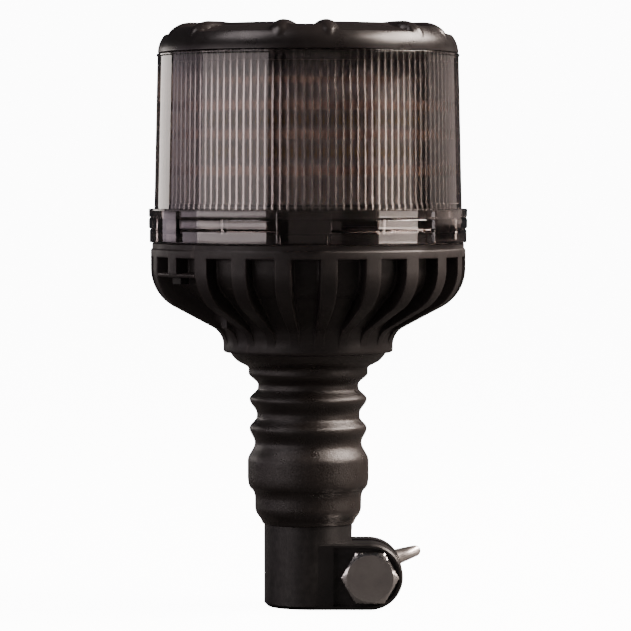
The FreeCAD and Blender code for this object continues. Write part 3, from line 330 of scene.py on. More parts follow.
def skin(name, points, loop=True, sharp=35.0):
    """Piece over a grid of points, turned outward by the sign of its volume.

    The volume is the sum of a . (b x c) over the triangles.
    """
    quads = grid_quads(numbers_of(points), loop)
    flat = points.reshape(-1, 3)
    a, b, c, d = (flat[quads[:, corner]] for corner in range(4))
    volume = np.einsum("ij,ij->", a, np.cross(b, c)) + np.einsum("ij,ij->", a, np.cross(c, d))
    if volume < 0:
        quads = quads[:, ::-1]
    return piece_of(name, points, quads.tolist(), sharp)


def keep_flat(piece):
    """Weighs normals by the area of the faces, so that wide faces stay flat beside small rounds."""
    weigh = piece.modifiers.new("Flat faces", "WEIGHTED_NORMAL")
    weigh.mode = "FACE_AREA"
    weigh.keep_sharp = True


def dress(piece, material):
    """Gives a piece its only material."""
    piece.data.materials.clear()
    piece.data.materials.append(material)


def dress_nodes(names, material):
    """Gives CAD nodes one material."""
    for name in names:
        dress(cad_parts[name], material)


# Shader nodes and the groups that several finishes share
FLOAT = "NodeSocketFloat"
COLOUR = "NodeSocketColor"
BLACK = (0.0, 0.0, 0.0, 1.0)
WHITE = (1.0, 1.0, 1.0, 1.0)
# Places of the sockets that a Mix node has for colours
MIX_SHARE, MIX_FIRST, MIX_SECOND, MIX_RESULT = 0, 6, 7, 2
# Band that most of a noise lies in
NOISE_BAND = (0.3, 0.7)


def group_of(name, inputs, outputs):
    """Empty shader group with named sockets."""
    group = bpy.data.node_groups.new(name, "ShaderNodeTree")
    for label, kind, default in inputs:
        socket = group.interface.new_socket(name=label, in_out="INPUT", socket_type=kind)
        socket.default_value = default
    for label, kind in outputs:
        group.interface.new_socket(name=label, in_out="OUTPUT", socket_type=kind)
    entry = group.nodes.new("NodeGroupInput")
    leave = group.nodes.new("NodeGroupOutput")
    return group, entry.outputs, leave.inputs


def feed(tree, place, value):
    """Links a socket to another one, or sets it to a constant."""
    if isinstance(value, bpy.types.NodeSocket):
        tree.links.new(value, place)
    else:
        place.default_value = value


def math_node(tree, kind, first, second):
    """One sum in a shader tree, whose terms are sockets or numbers."""
    node = tree.nodes.new("ShaderNodeMath")
    node.operation = kind
    feed(tree, node.inputs[0], first)
    feed(tree, node.inputs[1], second)
    return node.outputs[0]


def range_node(tree, value, bottom, top, start=0.0, end=1.0):
    """Carries a value from one range to another, held at both ends."""
    node = tree.nodes.new("ShaderNodeMapRange")
    labels = ("Value", "From Min", "From Max", "To Min", "To Max")
    for label, given in zip(labels, (value, bottom, top, start, end)):
        feed(tree, node.inputs[label], given)
    return node.outputs["Result"]


def mix_node(tree, share, first, second):
    """Mixes two colours by a share."""
    node = tree.nodes.new("ShaderNodeMix")
    node.data_type = "RGBA"
    feed(tree, node.inputs[MIX_SHARE], share)
    feed(tree, node.inputs[MIX_FIRST], first)
    feed(tree, node.inputs[MIX_SECOND], second)
    return node.outputs[MIX_RESULT]


def own_place(tree, stretch=None):
    """The piece's own coordinates, stretched along its axes where asked."""
    where = tree.nodes.new("ShaderNodeTexCoord").outputs["Object"]
    if stretch is None:
        return where
    node = tree.nodes.new("ShaderNodeMapping")
    node.inputs["Scale"].default_value = stretch
    tree.links.new(where, node.inputs["Vector"])
    return node.outputs["Vector"]


def noise_node(tree, scale, detail, stretch=None):
    """Noise on the piece's own coordinates."""
    where = own_place(tree, stretch)
    node = tree.nodes.new("ShaderNodeTexNoise")
    node.inputs["Detail"].default_value = detail
    tree.links.new(where, node.inputs["Vector"])
    feed(tree, node.inputs["Scale"], scale)
    return node.outputs["Fac"]


def make_grain():
    """Moulded grain: fine noise with a second noise on it, four times finer and half as high."""
    finer = 4.0
    lower = 0.5
    group, given, made = group_of("Moulded grain", [("Scale", FLOAT, 1500.0)], [("Height", FLOAT)])
    coarse = noise_node(group, given["Scale"], detail=2.0)
    fine = noise_node(group, math_node(group, "MULTIPLY", given["Scale"], finer), detail=1.0)
    total = math_node(group, "ADD", coarse, math_node(group, "MULTIPLY", fine, lower))
    group.links.new(total, made["Height"])
    return group


def make_mottle():
    """Slow change of colour, and a finer one of polish, over a surface."""
    finer = 5.0
    inputs = [
        ("Scale", FLOAT, 60.0),
        ("Dark", COLOUR, (0.01, 0.01, 0.01, 1.0)),
        ("Light", COLOUR, (0.02, 0.02, 0.02, 1.0)),
        ("Smoothest", FLOAT, 0.3),
        ("Roughest", FLOAT, 0.4),
    ]
    group, given, made = group_of("Mottle", inputs, [("Color", COLOUR), ("Roughness", FLOAT)])
    cloud = range_node(group, noise_node(group, given["Scale"], detail=5.0), *NOISE_BAND)
    group.links.new(mix_node(group, cloud, given["Dark"], given["Light"]), made["Color"])
    streak = noise_node(group, math_node(group, "MULTIPLY", given["Scale"], finer), detail=3.0)
    polish = range_node(group, streak, *NOISE_BAND, given["Smoothest"], given["Roughest"])
    group.links.new(polish, made["Roughness"])
    return group


def make_wear():
    """Edges rubbed a little lighter where the surface turns outward, broken up by noise."""
    edge_band = (0.52, 0.60)
    patch_band = (0.35, 0.65)
    patch_scale = 420.0
    inputs = [
        ("Color", COLOUR, BLACK),
        ("Rubbed", COLOUR, (0.1, 0.1, 0.1, 1.0)),
        ("Amount", FLOAT, 0.5),
    ]
    group, given, made = group_of("Edge wear", inputs, [("Color", COLOUR), ("Mask", FLOAT)])
    edge = group.nodes.new("ShaderNodeNewGeometry").outputs["Pointiness"]
    mask = range_node(group, edge, *edge_band)
    patches = range_node(group, noise_node(group, patch_scale, detail=3.0), *patch_band)
    broken = math_node(group, "MULTIPLY", mask, patches)
    share = math_node(group, "MULTIPLY", broken, given["Amount"])
    group.links.new(mix_node(group, share, given["Color"], given["Rubbed"]), made["Color"])
    group.links.new(share, made["Mask"])
    return group


def make_brushed():
    """Drawn metal: noise stretched along the bolt's line."""
    stretch = (1.0, 0.12, 1.0)
    group, given, made = group_of("Drawn metal", [("Scale", FLOAT, 900.0)], [("Height", FLOAT)])
    streaks = noise_node(group, given["Scale"], detail=4.0, stretch=stretch)
    group.links.new(streaks, made["Height"])
    return group


GROUPS = {}


def shared(name):
    """A shared group, made the first time it is asked for."""
    makers = {"grain": make_grain, "mottle": make_mottle, "wear": make_wear, "brushed": make_brushed}
    if name not in GROUPS:
        GROUPS[name] = makers[name]()
    return GROUPS[name]


def place_group(tree, name, values):
    """Places a shared group in a material with its own values."""
    node = tree.nodes.new("ShaderNodeGroup")
    node.node_tree = shared(name)
    for label, value in values.items():
        feed(tree, node.inputs[label], value)
    return node.outputs


def new_material(name):
    """A material with its node tree and the sockets of its shader."""
    material = bpy.data.materials.new(name)
    material.use_nodes = True
    return material, material.node_tree, material.node_tree.nodes["Principled BSDF"].inputs


def bump(tree, sockets, height, distance):
    """Feeds a height to the shader's normal."""
    node = tree.nodes.new("ShaderNodeBump")
    node.inputs["Distance"].default_value = distance
    tree.links.new(height, node.inputs["Height"])
    tree.links.new(node.outputs["Normal"], sockets["Normal"])


def shade(colour, share):
    """A colour made lighter or darker, with its alpha."""
    return tuple(min(1.0, part * share) for part in colour) + (1.0,)


def mottled(tree, colour, cloud, shares, polish):
    """Places the mottle between two shares of a colour and two degrees of roughness, the polish."""
    return place_group(tree, "mottle", {
        "Scale": cloud, "Dark": shade(colour, shares[0]), "Light": shade(colour, shares[1]),
        "Smoothest": polish[0], "Roughest": polish[1],
    })


def moulded(name, colour, polish, grain, wear, contrast=0.25):
    """Moulded plastic or rubber: mottled colour, rubbed edges and a grain with a scale and a depth."""
    cloud = 45.0
    rubbed_share = 5.0
    material, tree, sockets = new_material(name)
    body = mottled(tree, colour, cloud, (1.0 - contrast, 1.0 + contrast), polish)
    rubbed = place_group(tree, "wear", {
        "Color": body["Color"], "Rubbed": shade(colour, rubbed_share), "Amount": wear,
    })
    tree.links.new(rubbed["Color"], sockets["Base Color"])
    tree.links.new(body["Roughness"], sockets["Roughness"])
    bump(tree, sockets, place_group(tree, "grain", {"Scale": grain[0]})["Height"], grain[1])
    return material


def metal(name, colour, polish, depth=0.00003):
    """Bare metal: mottled tint with drawn streaks."""
    cloud = 160.0
    streaks = 900.0
    material, tree, sockets = new_material(name)
    body = mottled(tree, colour, cloud, (0.86, 1.08), polish)
    tree.links.new(body["Color"], sockets["Base Color"])
    tree.links.new(body["Roughness"], sockets["Roughness"])
    sockets["Metallic"].default_value = 1.0
    bump(tree, sockets, place_group(tree, "brushed", {"Scale": streaks})["Height"], depth)
    return material


def smoked(name, colour):
    """Smoked clear plastic with a faint change of tint, polished outside and satin on the flutes."""
    cloud = 25.0
    satin_band = (49.9 * MM, 50.3 * MM)
    satin_rough = 0.21
    level = (1.0, 1.0, 0.0)
    material, tree, sockets = new_material(name)
    body = mottled(tree, colour, cloud, (0.96, 1.04), polish=(0.015, 0.04))
    tree.links.new(body["Color"], sockets["Base Color"])
    radius = tree.nodes.new("ShaderNodeVectorMath")
    radius.operation = "LENGTH"
    tree.links.new(own_place(tree, level), radius.inputs[0])
    satin = range_node(tree, radius.outputs["Value"], *satin_band, satin_rough, 0.0)
    tree.links.new(math_node(tree, "ADD", body["Roughness"], satin), sockets["Roughness"])
    sockets["Transmission Weight"].default_value = 1.0
    sockets["IOR"].default_value = 1.5
    return material


# Cap: sizes in millimetres, and angles
CAP_RIM = 50.9
CAP_ROUND = 9.3
CAP_CROWN = CAP_RIM - CAP_ROUND
CAP_WALL = 4.0
SKIRT_OUTER = 48.3
SKIRT_INNER = 45.9
VALLEY_INNER = CAP_RIM - 37.0
VALLEY_HALF = math.radians(9.0)
PANEL_INNER = CAP_RIM - 13.5
PANEL_AZIMUTH = math.radians(28.6)
PANEL_HALF = math.radians(16.8)
RIDGE_INNER = CAP_RIM - 26.3
RIDGE_RUN = 12.7
RIDGE_AZIMUTH = math.radians(9.6)
CUT_EDGE = math.radians(0.7)


def cap_shape(radius, lean, angle):
    """How far the cap stands off its plain dome along the normal: the higher of cut and ridge.

    On the round a plane is met along the normal at plane / (sin + slope cos) less the round's radius.
    A ridge is a bar, proud - R + sqrt(R^2 - off^2), that rises over the roof and fades out on the round.
    """
    given = sizes()
    least_up = 0.02
    up = np.maximum(np.sin(lean), least_up)
    turn = near(angle, PAD_AZIMUTH, SIXTH)
    valley = np.minimum(0.0, (CAP_ROUND - given.valley_depth / MM) / up - CAP_ROUND)
    valley = valley * step_up(radius, VALLEY_INNER, width=1.0)
    valley = valley * within(turn, VALLEY_HALF, CUT_EDGE)
    slope = math.tan(given.panel_slope)
    fall = (np.minimum(radius, CAP_CROWN) - PANEL_INNER) * slope
    plane = CAP_ROUND - given.panel_depth / MM - fall
    panel = np.minimum(0.0, plane / (up + np.cos(lean) * slope) - CAP_ROUND)
    panel = panel * step_up(radius, PANEL_INNER, width=0.5)
    panel = panel * within(near(angle, PANEL_AZIMUTH, SIXTH), PANEL_HALF, CUT_EDGE)
    bar = given.ridge_radius / MM
    proud = given.ridge_proud / MM
    sink = 1.5
    dip = 0.3
    foot_sink = 0.8
    rise_at = [RIDGE_INNER - sink, RIDGE_INNER, RIDGE_INNER + RIDGE_RUN, CAP_CROWN]
    rise = np.interp(radius, rise_at, [-sink, -dip, proud, proud])
    fade_at = [14.0, 25.0, 45.0, 90.0]
    fade = np.interp(np.degrees(lean), fade_at, [-foot_sink, 0.0, proud, proud])
    off = np.abs(radius * np.sin(np.abs(turn) - RIDGE_AZIMUTH))
    ridge = np.minimum(rise, fade) - bar + np.sqrt(np.maximum(bar**2 - off**2, 0.0))
    return np.maximum(np.minimum(valley, panel), np.where(off < bar, ridge, -bar))


def cap_surface():
    """Dome line, flat and then a quarter circle, pushed along its normals and closed underneath."""
    top = high("top_cap")[2] - sizes().ridge_proud / MM
    bottom = low("top_cap")[2]
    foot = top - CAP_ROUND
    ceiling = top - CAP_WALL
    lip = 0.5
    last_lean = math.radians(3.7)
    flat = np.r_[0.0, 5.0, 9.0, np.linspace(12.0, CAP_CROWN, 50)]
    curve = np.linspace(QUARTER, last_lean, 46)[1:]
    lean = np.r_[np.full(len(flat), QUARTER), curve]
    radius = np.r_[flat, CAP_CROWN + CAP_ROUND * np.cos(curve)]
    height = np.r_[np.full(len(flat), top), foot + CAP_ROUND * np.sin(curve)]
    underside = [
        (CAP_RIM, foot + lip), (CAP_RIM, foot), (SKIRT_OUTER, foot), (SKIRT_OUTER, bottom),
        (SKIRT_INNER, bottom), (SKIRT_INNER, ceiling), (0.0, ceiling),
    ]
    under = spread(soft_corners(underside, reach=0.35, steps=4, closed=False), step=5.0)
    angle = repeated(even(96), 6, PAD_AZIMUTH)
    stand = cap_shape(radius[None], lean[None], angle)
    lower = np.broadcast_to(under[None], (len(angle), *under.shape))
    radii = np.hstack([radius + stand * np.cos(lean), lower[..., 0]])
    heights = np.hstack([height + stand * np.sin(lean), lower[..., 1]])
    return about_axis(radii, heights, angle)


class BEACON_OT_cap(bpy.types.Operator):
    """Domed cap with ridges, valleys and panels"""

    bl_idname = "beacon.cap"
    bl_label = "Cap"

    def execute(self, context):
        finish = moulded("Satin black cap", colours().cap, (0.26, 0.35), (2600.0, 0.000012), wear=0.3)
        piece = skin("cap_dome", cap_surface(), loop=False, sharp=30.0)
        dress(piece, finish)
        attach(piece, "lens")
        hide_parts("top_cap")
        return {"FINISHED"}


# Lens: radii, heights above its foot, depths below its top, and angles
COLLAR = 54.0
COLLAR_FOOT = 53.75
COLLAR_TOP = 11.3
LOW_LINE = 4.5
HIGH_LINE = 8.3
LINE_DEPTH = 0.45
WALL_FOOT = 52.15
WALL_TOP = 51.02
TOP_BAND = 51.3
BAND_DEPTHS = (1.1, 0.85, 0.25)
BORE = 49.3
LIP_MIDDLE = 1.6
GROOVE = 51.9
GROOVE_FOOT = 3.3
GROOVE_TOP = 8.1
FLUTED_BORE = 48.7
FLUTED_FOOT = 13.15
FLUTE_START = 11.2
PAD_FOOT = 0.5
PAD_TOP = 10.8
PAD_HALF = math.radians(9.4)
SLOT_HALF = math.radians(8.5)
STOP_AZIMUTH = math.radians(28.0)
STOP_HALF = math.radians(1.0)
BAYONET_DEPTH = 2.5
LENS_EDGE = math.radians(0.3)


def lens_outline():
    """Outline of the wall from the foot of its bore, outside, over the top and down inside.

    Each corner has a radius, a height above the foot and the reach of its rounding.
    """
    tall = high("lens")[2] - low("lens")[2]
    wall_end, band_foot, band_top = (tall - depth for depth in BAND_DEPTHS)
    soft = 0.12
    crisp = 0.02
    edge = 0.1
    return np.array([
        (BORE, 0.0, soft), (COLLAR_FOOT, 0.0, soft),
        (COLLAR_FOOT, PAD_FOOT - edge, crisp), (COLLAR_FOOT, PAD_FOOT + edge, crisp),
        (COLLAR_FOOT, LOW_LINE - LINE_DEPTH, soft), (COLLAR_FOOT - LINE_DEPTH, LOW_LINE, soft),
        (COLLAR, LOW_LINE + LINE_DEPTH, soft), (COLLAR, HIGH_LINE - LINE_DEPTH, soft),
        (COLLAR - LINE_DEPTH, HIGH_LINE, soft), (COLLAR, HIGH_LINE + LINE_DEPTH, soft),
        (COLLAR, PAD_TOP - edge, crisp), (COLLAR, PAD_TOP + edge, crisp),
        (COLLAR, COLLAR_TOP, 0.35), (WALL_FOOT, COLLAR_TOP, 0.2),
        (WALL_TOP, wall_end, soft), (TOP_BAND, band_foot, soft),
        (TOP_BAND, band_top, soft), (CAP_RIM, tall, soft),
        (FLUTED_BORE, tall, soft), (FLUTED_BORE, FLUTED_FOOT, soft), (BORE, FLUTED_FOOT, soft),
        (BORE, FLUTE_START + edge, soft), (BORE, FLUTE_START - edge, soft),
        (BORE, GROOVE_TOP, soft), (GROOVE, GROOVE_TOP, soft),
        (GROOVE, GROOVE_FOOT, soft), (BORE, GROOVE_FOOT, soft), (BORE, LIP_MIDDLE, soft),
    ])


def lens_surface():
    """Wall of the lens turned about the axis, with flutes, pads, entry slots and stops.

    A flute's bore is r + depth (1 - |cos(n a / 2)|), so that the ribs between the flutes are round.
    Pads lift the collar to one radius, slots open the lip and stops fill the bayonet groove.
    """
    given = sizes()
    # Margin that keeps a test clear of the points on an edge.
    hair = 0.05
    outline = lens_outline()
    tall = outline[:, 1].max()
    line = soft_corners(outline[:, :2], outline[:, 2], steps=3)
    line = spread(np.vstack([line, line[:1]]), step=9.0)[:-1]
    angle = repeated(even(8), given.flute_count, PAD_AZIMUTH)
    plain = line[None, :, 0]
    height = line[None, :, 1]
    turn = near(angle, PAD_AZIMUTH, SIXTH)
    on_pad = (height > PAD_FOOT) & (height < PAD_TOP) & (plain > COLLAR - 1.0)
    pad = within(turn, PAD_HALF, LENS_EDGE) * on_pad
    radius = plain + pad * (COLLAR + given.pad_proud / MM - plain)
    on_flute = (plain < BORE + hair) & (height > FLUTE_START) & (height < tall - 4 * hair)
    wave = 1.0 - np.abs(np.cos(angle * given.flute_count / 2.0))
    radius = radius + on_flute * wave * given.flute_depth / MM
    on_lip = (height < GROOVE_FOOT - 2 * hair) & (plain < (BORE + GROOVE) / 2)
    radius = radius + within(turn, SLOT_HALF, LENS_EDGE) * on_lip * BAYONET_DEPTH
    on_wall = np.abs(plain - GROOVE) < hair
    in_groove = on_wall & (height > GROOVE_FOOT + hair) & (height < GROOVE_TOP - hair)
    stop_turn = near(angle, STOP_AZIMUTH, SIXTH)
    radius = radius - within(stop_turn, STOP_HALF, LENS_EDGE) * in_groove * BAYONET_DEPTH
    return about_axis(radius, low("lens")[2] + height, angle)


class BEACON_OT_lens(bpy.types.Operator):
    """Smoked lens with flutes inside and a collar with pads"""

    bl_idname = "beacon.lens"
    bl_label = "Lens"

    def execute(self, context):
        piece = skin("lens_wall", lens_surface(), sharp=40.0)
        keep_flat(piece)
        dress(piece, smoked("Smoked lens", colours().lens))
        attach(piece, "lens")
        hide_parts("lens")
        return {"FINISHED"}


# Finned bowl: radii, heights above its foot or from its deck, depths and angles
BAND = 53.4
DECK = 37.1
BELLY_ROUND = 15.0
BELLY_MIDDLE = 28.6
HOLLOW_ROUND = 7.0
HOLLOW_MIDDLE = (35.8, 2.3)
SHELF_FOOT = 25.9
SHELF_TOP = 27.3
SHELF_SUNK = 0.25
POCKET_DROP = 4.6
RECESS_HALF = math.radians(13.4)
RECESS_EXTRA = 1.9
RECESS_FOOT = 9.4
RECESS_EDGE = math.radians(0.5)
FIRST_RIB = math.radians(-8.8)
SHORT_RIB = 3
NECK_HOLE = 18.55
NECK_SEAT = 28.8
STEP = 52.9
SPIGOT = 49.0
SPIGOT_BORE = 46.4
SPIGOT_TALL = 12.4
SPIGOT_CHAMFER = 0.3
CAVITY = 41.2
CAVITY_DROP = 3.0
CAVITY_FOOT = 24.0
WELL = 26.4
WELL_TOP = 11.0
WELL_FLOOR = 5.8
TAB_FOOT = 3.9
TAB_TOP = 6.1
TAB_PROUD = 2.6
TAB_AZIMUTH = math.radians(19.6)
TAB_HALF = math.radians(6.5)
TAB_EDGE = math.radians(0.8)
BOWL_EDGE = 0.3
TIGHT = 0.12


def bowl_outside(foot, pocket_top):
    """Outer line of the bowl: a hollow arc, the belly's arc and the upright band.

    Points are added close under and over the shelf's edges and the pockets' top, to keep these sharp.
    """
    clear = 0.2
    shelf_foot = foot + SHELF_FOOT
    shelf_top = foot + SHELF_TOP
    belly_middle = foot + BELLY_MIDDLE
    hollow = arc((HOLLOW_MIDDLE[0], foot + HOLLOW_MIDDLE[1]), HOLLOW_ROUND, 180.0, 118.0, 22)
    belly = arc((BAND - BELLY_ROUND, belly_middle), BELLY_ROUND, -62.0, 0.0, 40)
    rises = np.array([
        shelf_foot - TIGHT, shelf_foot + TIGHT, shelf_top - TIGHT, shelf_top + TIGHT,
        pocket_top - 0.5, pocket_top - TIGHT, pocket_top + TIGHT, pocket_top + 0.6,
    ])
    side = np.sort(np.r_[rises, belly[-1, 1] + np.array([0.6, 1.6, 2.6])])
    belly = belly[(np.abs(belly[:, 1, None] - rises[None, :]) > clear).all(axis=1)]
    extra = rises[rises < belly[-1, 1]]
    extra_reach = BAND - BELLY_ROUND + np.sqrt(BELLY_ROUND**2 - (extra - belly_middle) ** 2)
    round_part = np.vstack([belly, np.stack([extra_reach, extra], axis=1)])
    round_part = round_part[np.argsort(round_part[:, 1])]
    straight = side[side > round_part[-1, 1] + clear / 4]
    return np.vstack([spread(np.vstack([hollow, round_part]), step=0.8), upright(BAND, straight)])


def bowl_top(foot, deck, tabs):
    """Line from the band over the deck and the spigot, and down through the cavity to the neck's hole."""
    rim = deck + SPIGOT_TALL
    ceiling = deck - CAVITY_DROP
    return np.vstack([
        [(BAND, deck - 2.4), (BAND - 0.15, deck - 2.1)],
        [(STEP, deck - 1.7), (STEP, deck - 0.2), (STEP - 0.2, deck), (SPIGOT, deck)],
        upright(SPIGOT, tabs),
        [(SPIGOT, rim - SPIGOT_CHAMFER), (SPIGOT - SPIGOT_CHAMFER, rim), (SPIGOT_BORE, rim)],
        [(SPIGOT_BORE, ceiling), (CAVITY, ceiling), (CAVITY, foot + CAVITY_FOOT)],
        [(WELL, foot + WELL_TOP), (WELL, foot + WELL_FLOOR), (NECK_HOLE, foot + WELL_FLOOR)],
    ])


def bowl_surface():
    """Bowl turned about the axis, with its outer line pushed in between the ribs.

    A point moves against its normal by the pocket's depth times a share that is 1 between two
    ribs and 0 on them. The depth fades to nothing at the neck.
    One rib ends at a shelf over a deeper recess.
    """
    given = sizes()
    foot = low("base_housing")[2]
    deck = foot + DECK
    pocket_top = deck - POCKET_DROP
    tabs = deck + np.array([TAB_FOOT - TIGHT, TAB_FOOT + TIGHT, TAB_TOP - TIGHT, TAB_TOP + TIGHT])
    seat_round = [(0.7, 0.0), (0.3, 0.18), (0.05, 0.5), (0.0, 1.2)]
    start = np.array([(NECK_HOLE, foot)] + [(NECK_SEAT - inset, foot + rise) for inset, rise in seat_round])
    outer = bowl_outside(foot, pocket_top)
    top_part = bowl_top(foot, deck, tabs)
    line = np.vstack([start, outer, top_part])
    normal = np.vstack([np.zeros_like(start), outward(outer), np.zeros_like(top_part)])
    height = line[None, :, 1]
    # Angles across a rib and the pocket beside it, as shares of the ribs' pitch.
    pitch = TURN / given.rib_count
    half = given.rib_angle / 2.0 / pitch
    inside = half * np.array([0.0, 0.4, 0.8, 0.93, 1.0])
    fillet = half * 1.04 + np.array([0.0, 0.012, 0.03])
    floor = np.linspace(fillet[-1], 0.5, 7)[1:]
    right = np.r_[inside, fillet, floor]
    pattern = np.r_[-right[::-1][1:-1], right] + 0.5
    pattern = np.unique(np.round(pattern[(pattern >= 0.0) & (pattern < 1.0)], 6))
    angle = repeated(pattern - 0.5, given.rib_count, FIRST_RIB)
    turn = np.abs(near(angle, FIRST_RIB, pitch)) / pitch
    between_at = np.r_[0.0, inside[2:], fillet, 0.5]
    between = np.interp(turn, between_at, [0.0, 0.0, 0.02, 0.1, 0.86, 0.96, 1.0, 1.0])
    # Depth of the pockets at each height, then the short rib's shelf and recess.
    full = given.pocket_depth / MM
    depth_at = foot + np.array([2.6, 6.0, 9.5, 15.4])
    depth = np.interp(height, depth_at, [0.0, 0.6, 2.2, full])
    depth = depth * (1.0 - step_up(height, pocket_top, BOWL_EDGE))
    short = near(angle, FIRST_RIB - SHORT_RIB * pitch, TURN)
    wide = within(short, RECESS_HALF, RECESS_EDGE)
    over_shelf_foot = step_up(height, foot + SHELF_FOOT, BOWL_EDGE)
    below = (1.0 - over_shelf_foot) * step_up(height, foot + RECESS_FOOT, width=1.2) * wide
    shelf = over_shelf_foot * (1.0 - step_up(height, foot + SHELF_TOP, BOWL_EDGE)) * wide
    sunk = between * depth * (1.0 - shelf) + shelf * SHELF_SUNK
    sunk = sunk * (1.0 - below) + below * (depth + RECESS_EXTRA)
    radius = line[None, :, 0] - normal[None, :, 0] * sunk
    height = height - normal[None, :, 1] * sunk
    on_tab = np.isin(line[:, 1], tabs[1:3])
    tab = within(near(angle, TAB_AZIMUTH, SIXTH), TAB_HALF, TAB_EDGE)
    radius = radius + on_tab[None] * tab * TAB_PROUD
    return about_axis(radius, height, angle)


class BEACON_OT_bowl(bpy.types.Operator):
    """Finned bowl with its rim and bayonet tabs"""

    bl_idname = "beacon.bowl"
    bl_label = "Finned bowl"

    def execute(self, context):
        finish = moulded("Matt black bowl", colours().bowl, (0.46, 0.58), (1900.0, 0.00003), wear=0.5)
        piece = skin("finned_bowl", bowl_surface(), sharp=38.0)
        keep_flat(piece)
        dress(piece, finish)
        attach(piece, "head")
        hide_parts("base_housing")
        return {"FINISHED"}


# Flexible neck: radii, and heights above its foot
SLEEVE = 20.6
SLEEVE_TOP = 21.4
NECK_MIDDLE = 37.55
WAVE_END = 20.3
WAVE_TOP = 51.4
NECK_BORE = 12.5
SOCKET_TOP = 25.15
SLEEVE_BORE = 15.15
# Heights above the origin: the middle waist, and the ends of the spans that the halves and leads list about
# it
NECK_SPLIT = 65.55
SPLIT_GAP = 0.05
BEND_FOOT = 50.0
LEAD_BEND_FOOT = 56.0
BEND_TOP = 81.0
# Rings along a lead
LEAD_LEVELS = 40


def neck_line():
    """Outer line of the neck from its foot to its bead, in three parts.

    Between a waist and a crest the radius follows (1 - cos(pi t)) / 2. Over a crest t is held
    before the waist, so that the face is steeper and the waist broader.
    """
    foot = low("flex_neck")[2]
    knots = foot + np.array([SLEEVE_TOP, 27.7, 32.6, NECK_MIDDLE, 42.5, 47.4, WAVE_TOP])
    reach = np.array([SLEEVE, 18.2, 19.95, 17.5, 19.95, 17.1, WAVE_END])
    level = np.unique(np.r_[np.linspace(knots[0], knots[-1], 121), knots])
    place = np.clip(np.searchsorted(knots, level, side="right") - 1, 0, len(knots) - 2)
    held = np.array([0.0, 0.0, 0.2, 0.0, 0.2, 0.0])[place]
    t = (level - knots[place]) / (knots[place + 1] - knots[place])
    t = np.clip(t / (1.0 - held), 0.0, 1.0)
    swing = (1.0 - np.cos(np.pi * t)) / 2.0
    wave = np.stack([reach[place] + (reach[place + 1] - reach[place]) * swing, level], axis=1)
    sleeve = np.array([
        (SLEEVE_BORE, 0.0), (15.6, 0.3), (16.1, 1.6), (17.6, 3.6), (18.1, 5.2), (18.1, 9.4),
        (18.6, 11.2), (20.2, 12.8), (SLEEVE, 15.2), (SLEEVE, SLEEVE_TOP),
    ])
    below = soft_corners(sleeve + [0.0, foot], reach=1.2, steps=6, closed=False)
    # Each corner has a radius, a height and the reach of its rounding.
    flange = np.array([
        (WAVE_END, WAVE_TOP, 0.0), (WAVE_END, 53.4, 0.8), (21.8, 54.2, 1.2), (24.2, 55.4, 1.2),
        (25.8, 57.2, 1.0), (26.5, 58.3, 0.2), (18.4, 58.3, 0.2), (18.4, 64.4, 0.2), (21.4, 64.4, 0.4),
        (21.4, 67.4, 0.4), (NECK_BORE, 67.4, 0.0),
    ])
    above = soft_corners(flange[:, :2] + [0.0, foot], flange[:, 2], steps=6, closed=False)
    return below, wave, above


def neck_half(upper):
    """One half of the neck, turned about the axis and closed across the middle waist."""
    below, wave, above = neck_line()
    foot = low("flex_neck")[2]
    middle = foot + NECK_MIDDLE
    level = wave[:, 1]
    if upper:
        run = np.vstack([wave[level >= middle - SAME_POINT], above[1:]])
        inner = np.array([(NECK_BORE, middle)])
    else:
        over_sleeve = level > below[-1, 1] + SAME_POINT
        run = np.vstack([below, wave[over_sleeve & (level <= middle + SAME_POINT)]])
        roof = foot + SOCKET_TOP
        inner = np.array([(NECK_BORE, middle), (NECK_BORE, roof), (SLEEVE_BORE, roof)])
    line = spread(np.vstack([run, inner]), step=1.2)
    return about_axis(line[None, :, 0], line[None, :, 1], full_turn(160))


def lead_surface(node, start, end):
    """Straight rod between two heights: x and y follow a circle, and a point closes each end."""
    middle = middle_of(node)
    radius = (high(node)[0] - low(node)[0]) / 2
    height = np.r_[start, np.linspace(start, end, LEAD_LEVELS), end]
    reach = np.r_[0.0, np.full(LEAD_LEVELS, radius), 0.0]
    ring = full_turn(20)
    x = middle[0] + reach[None] * np.cos(ring)
    y = middle[1] + reach[None] * np.sin(ring)
    return np.stack(np.broadcast_arrays(x, y, height[None]), axis=-1) * MM


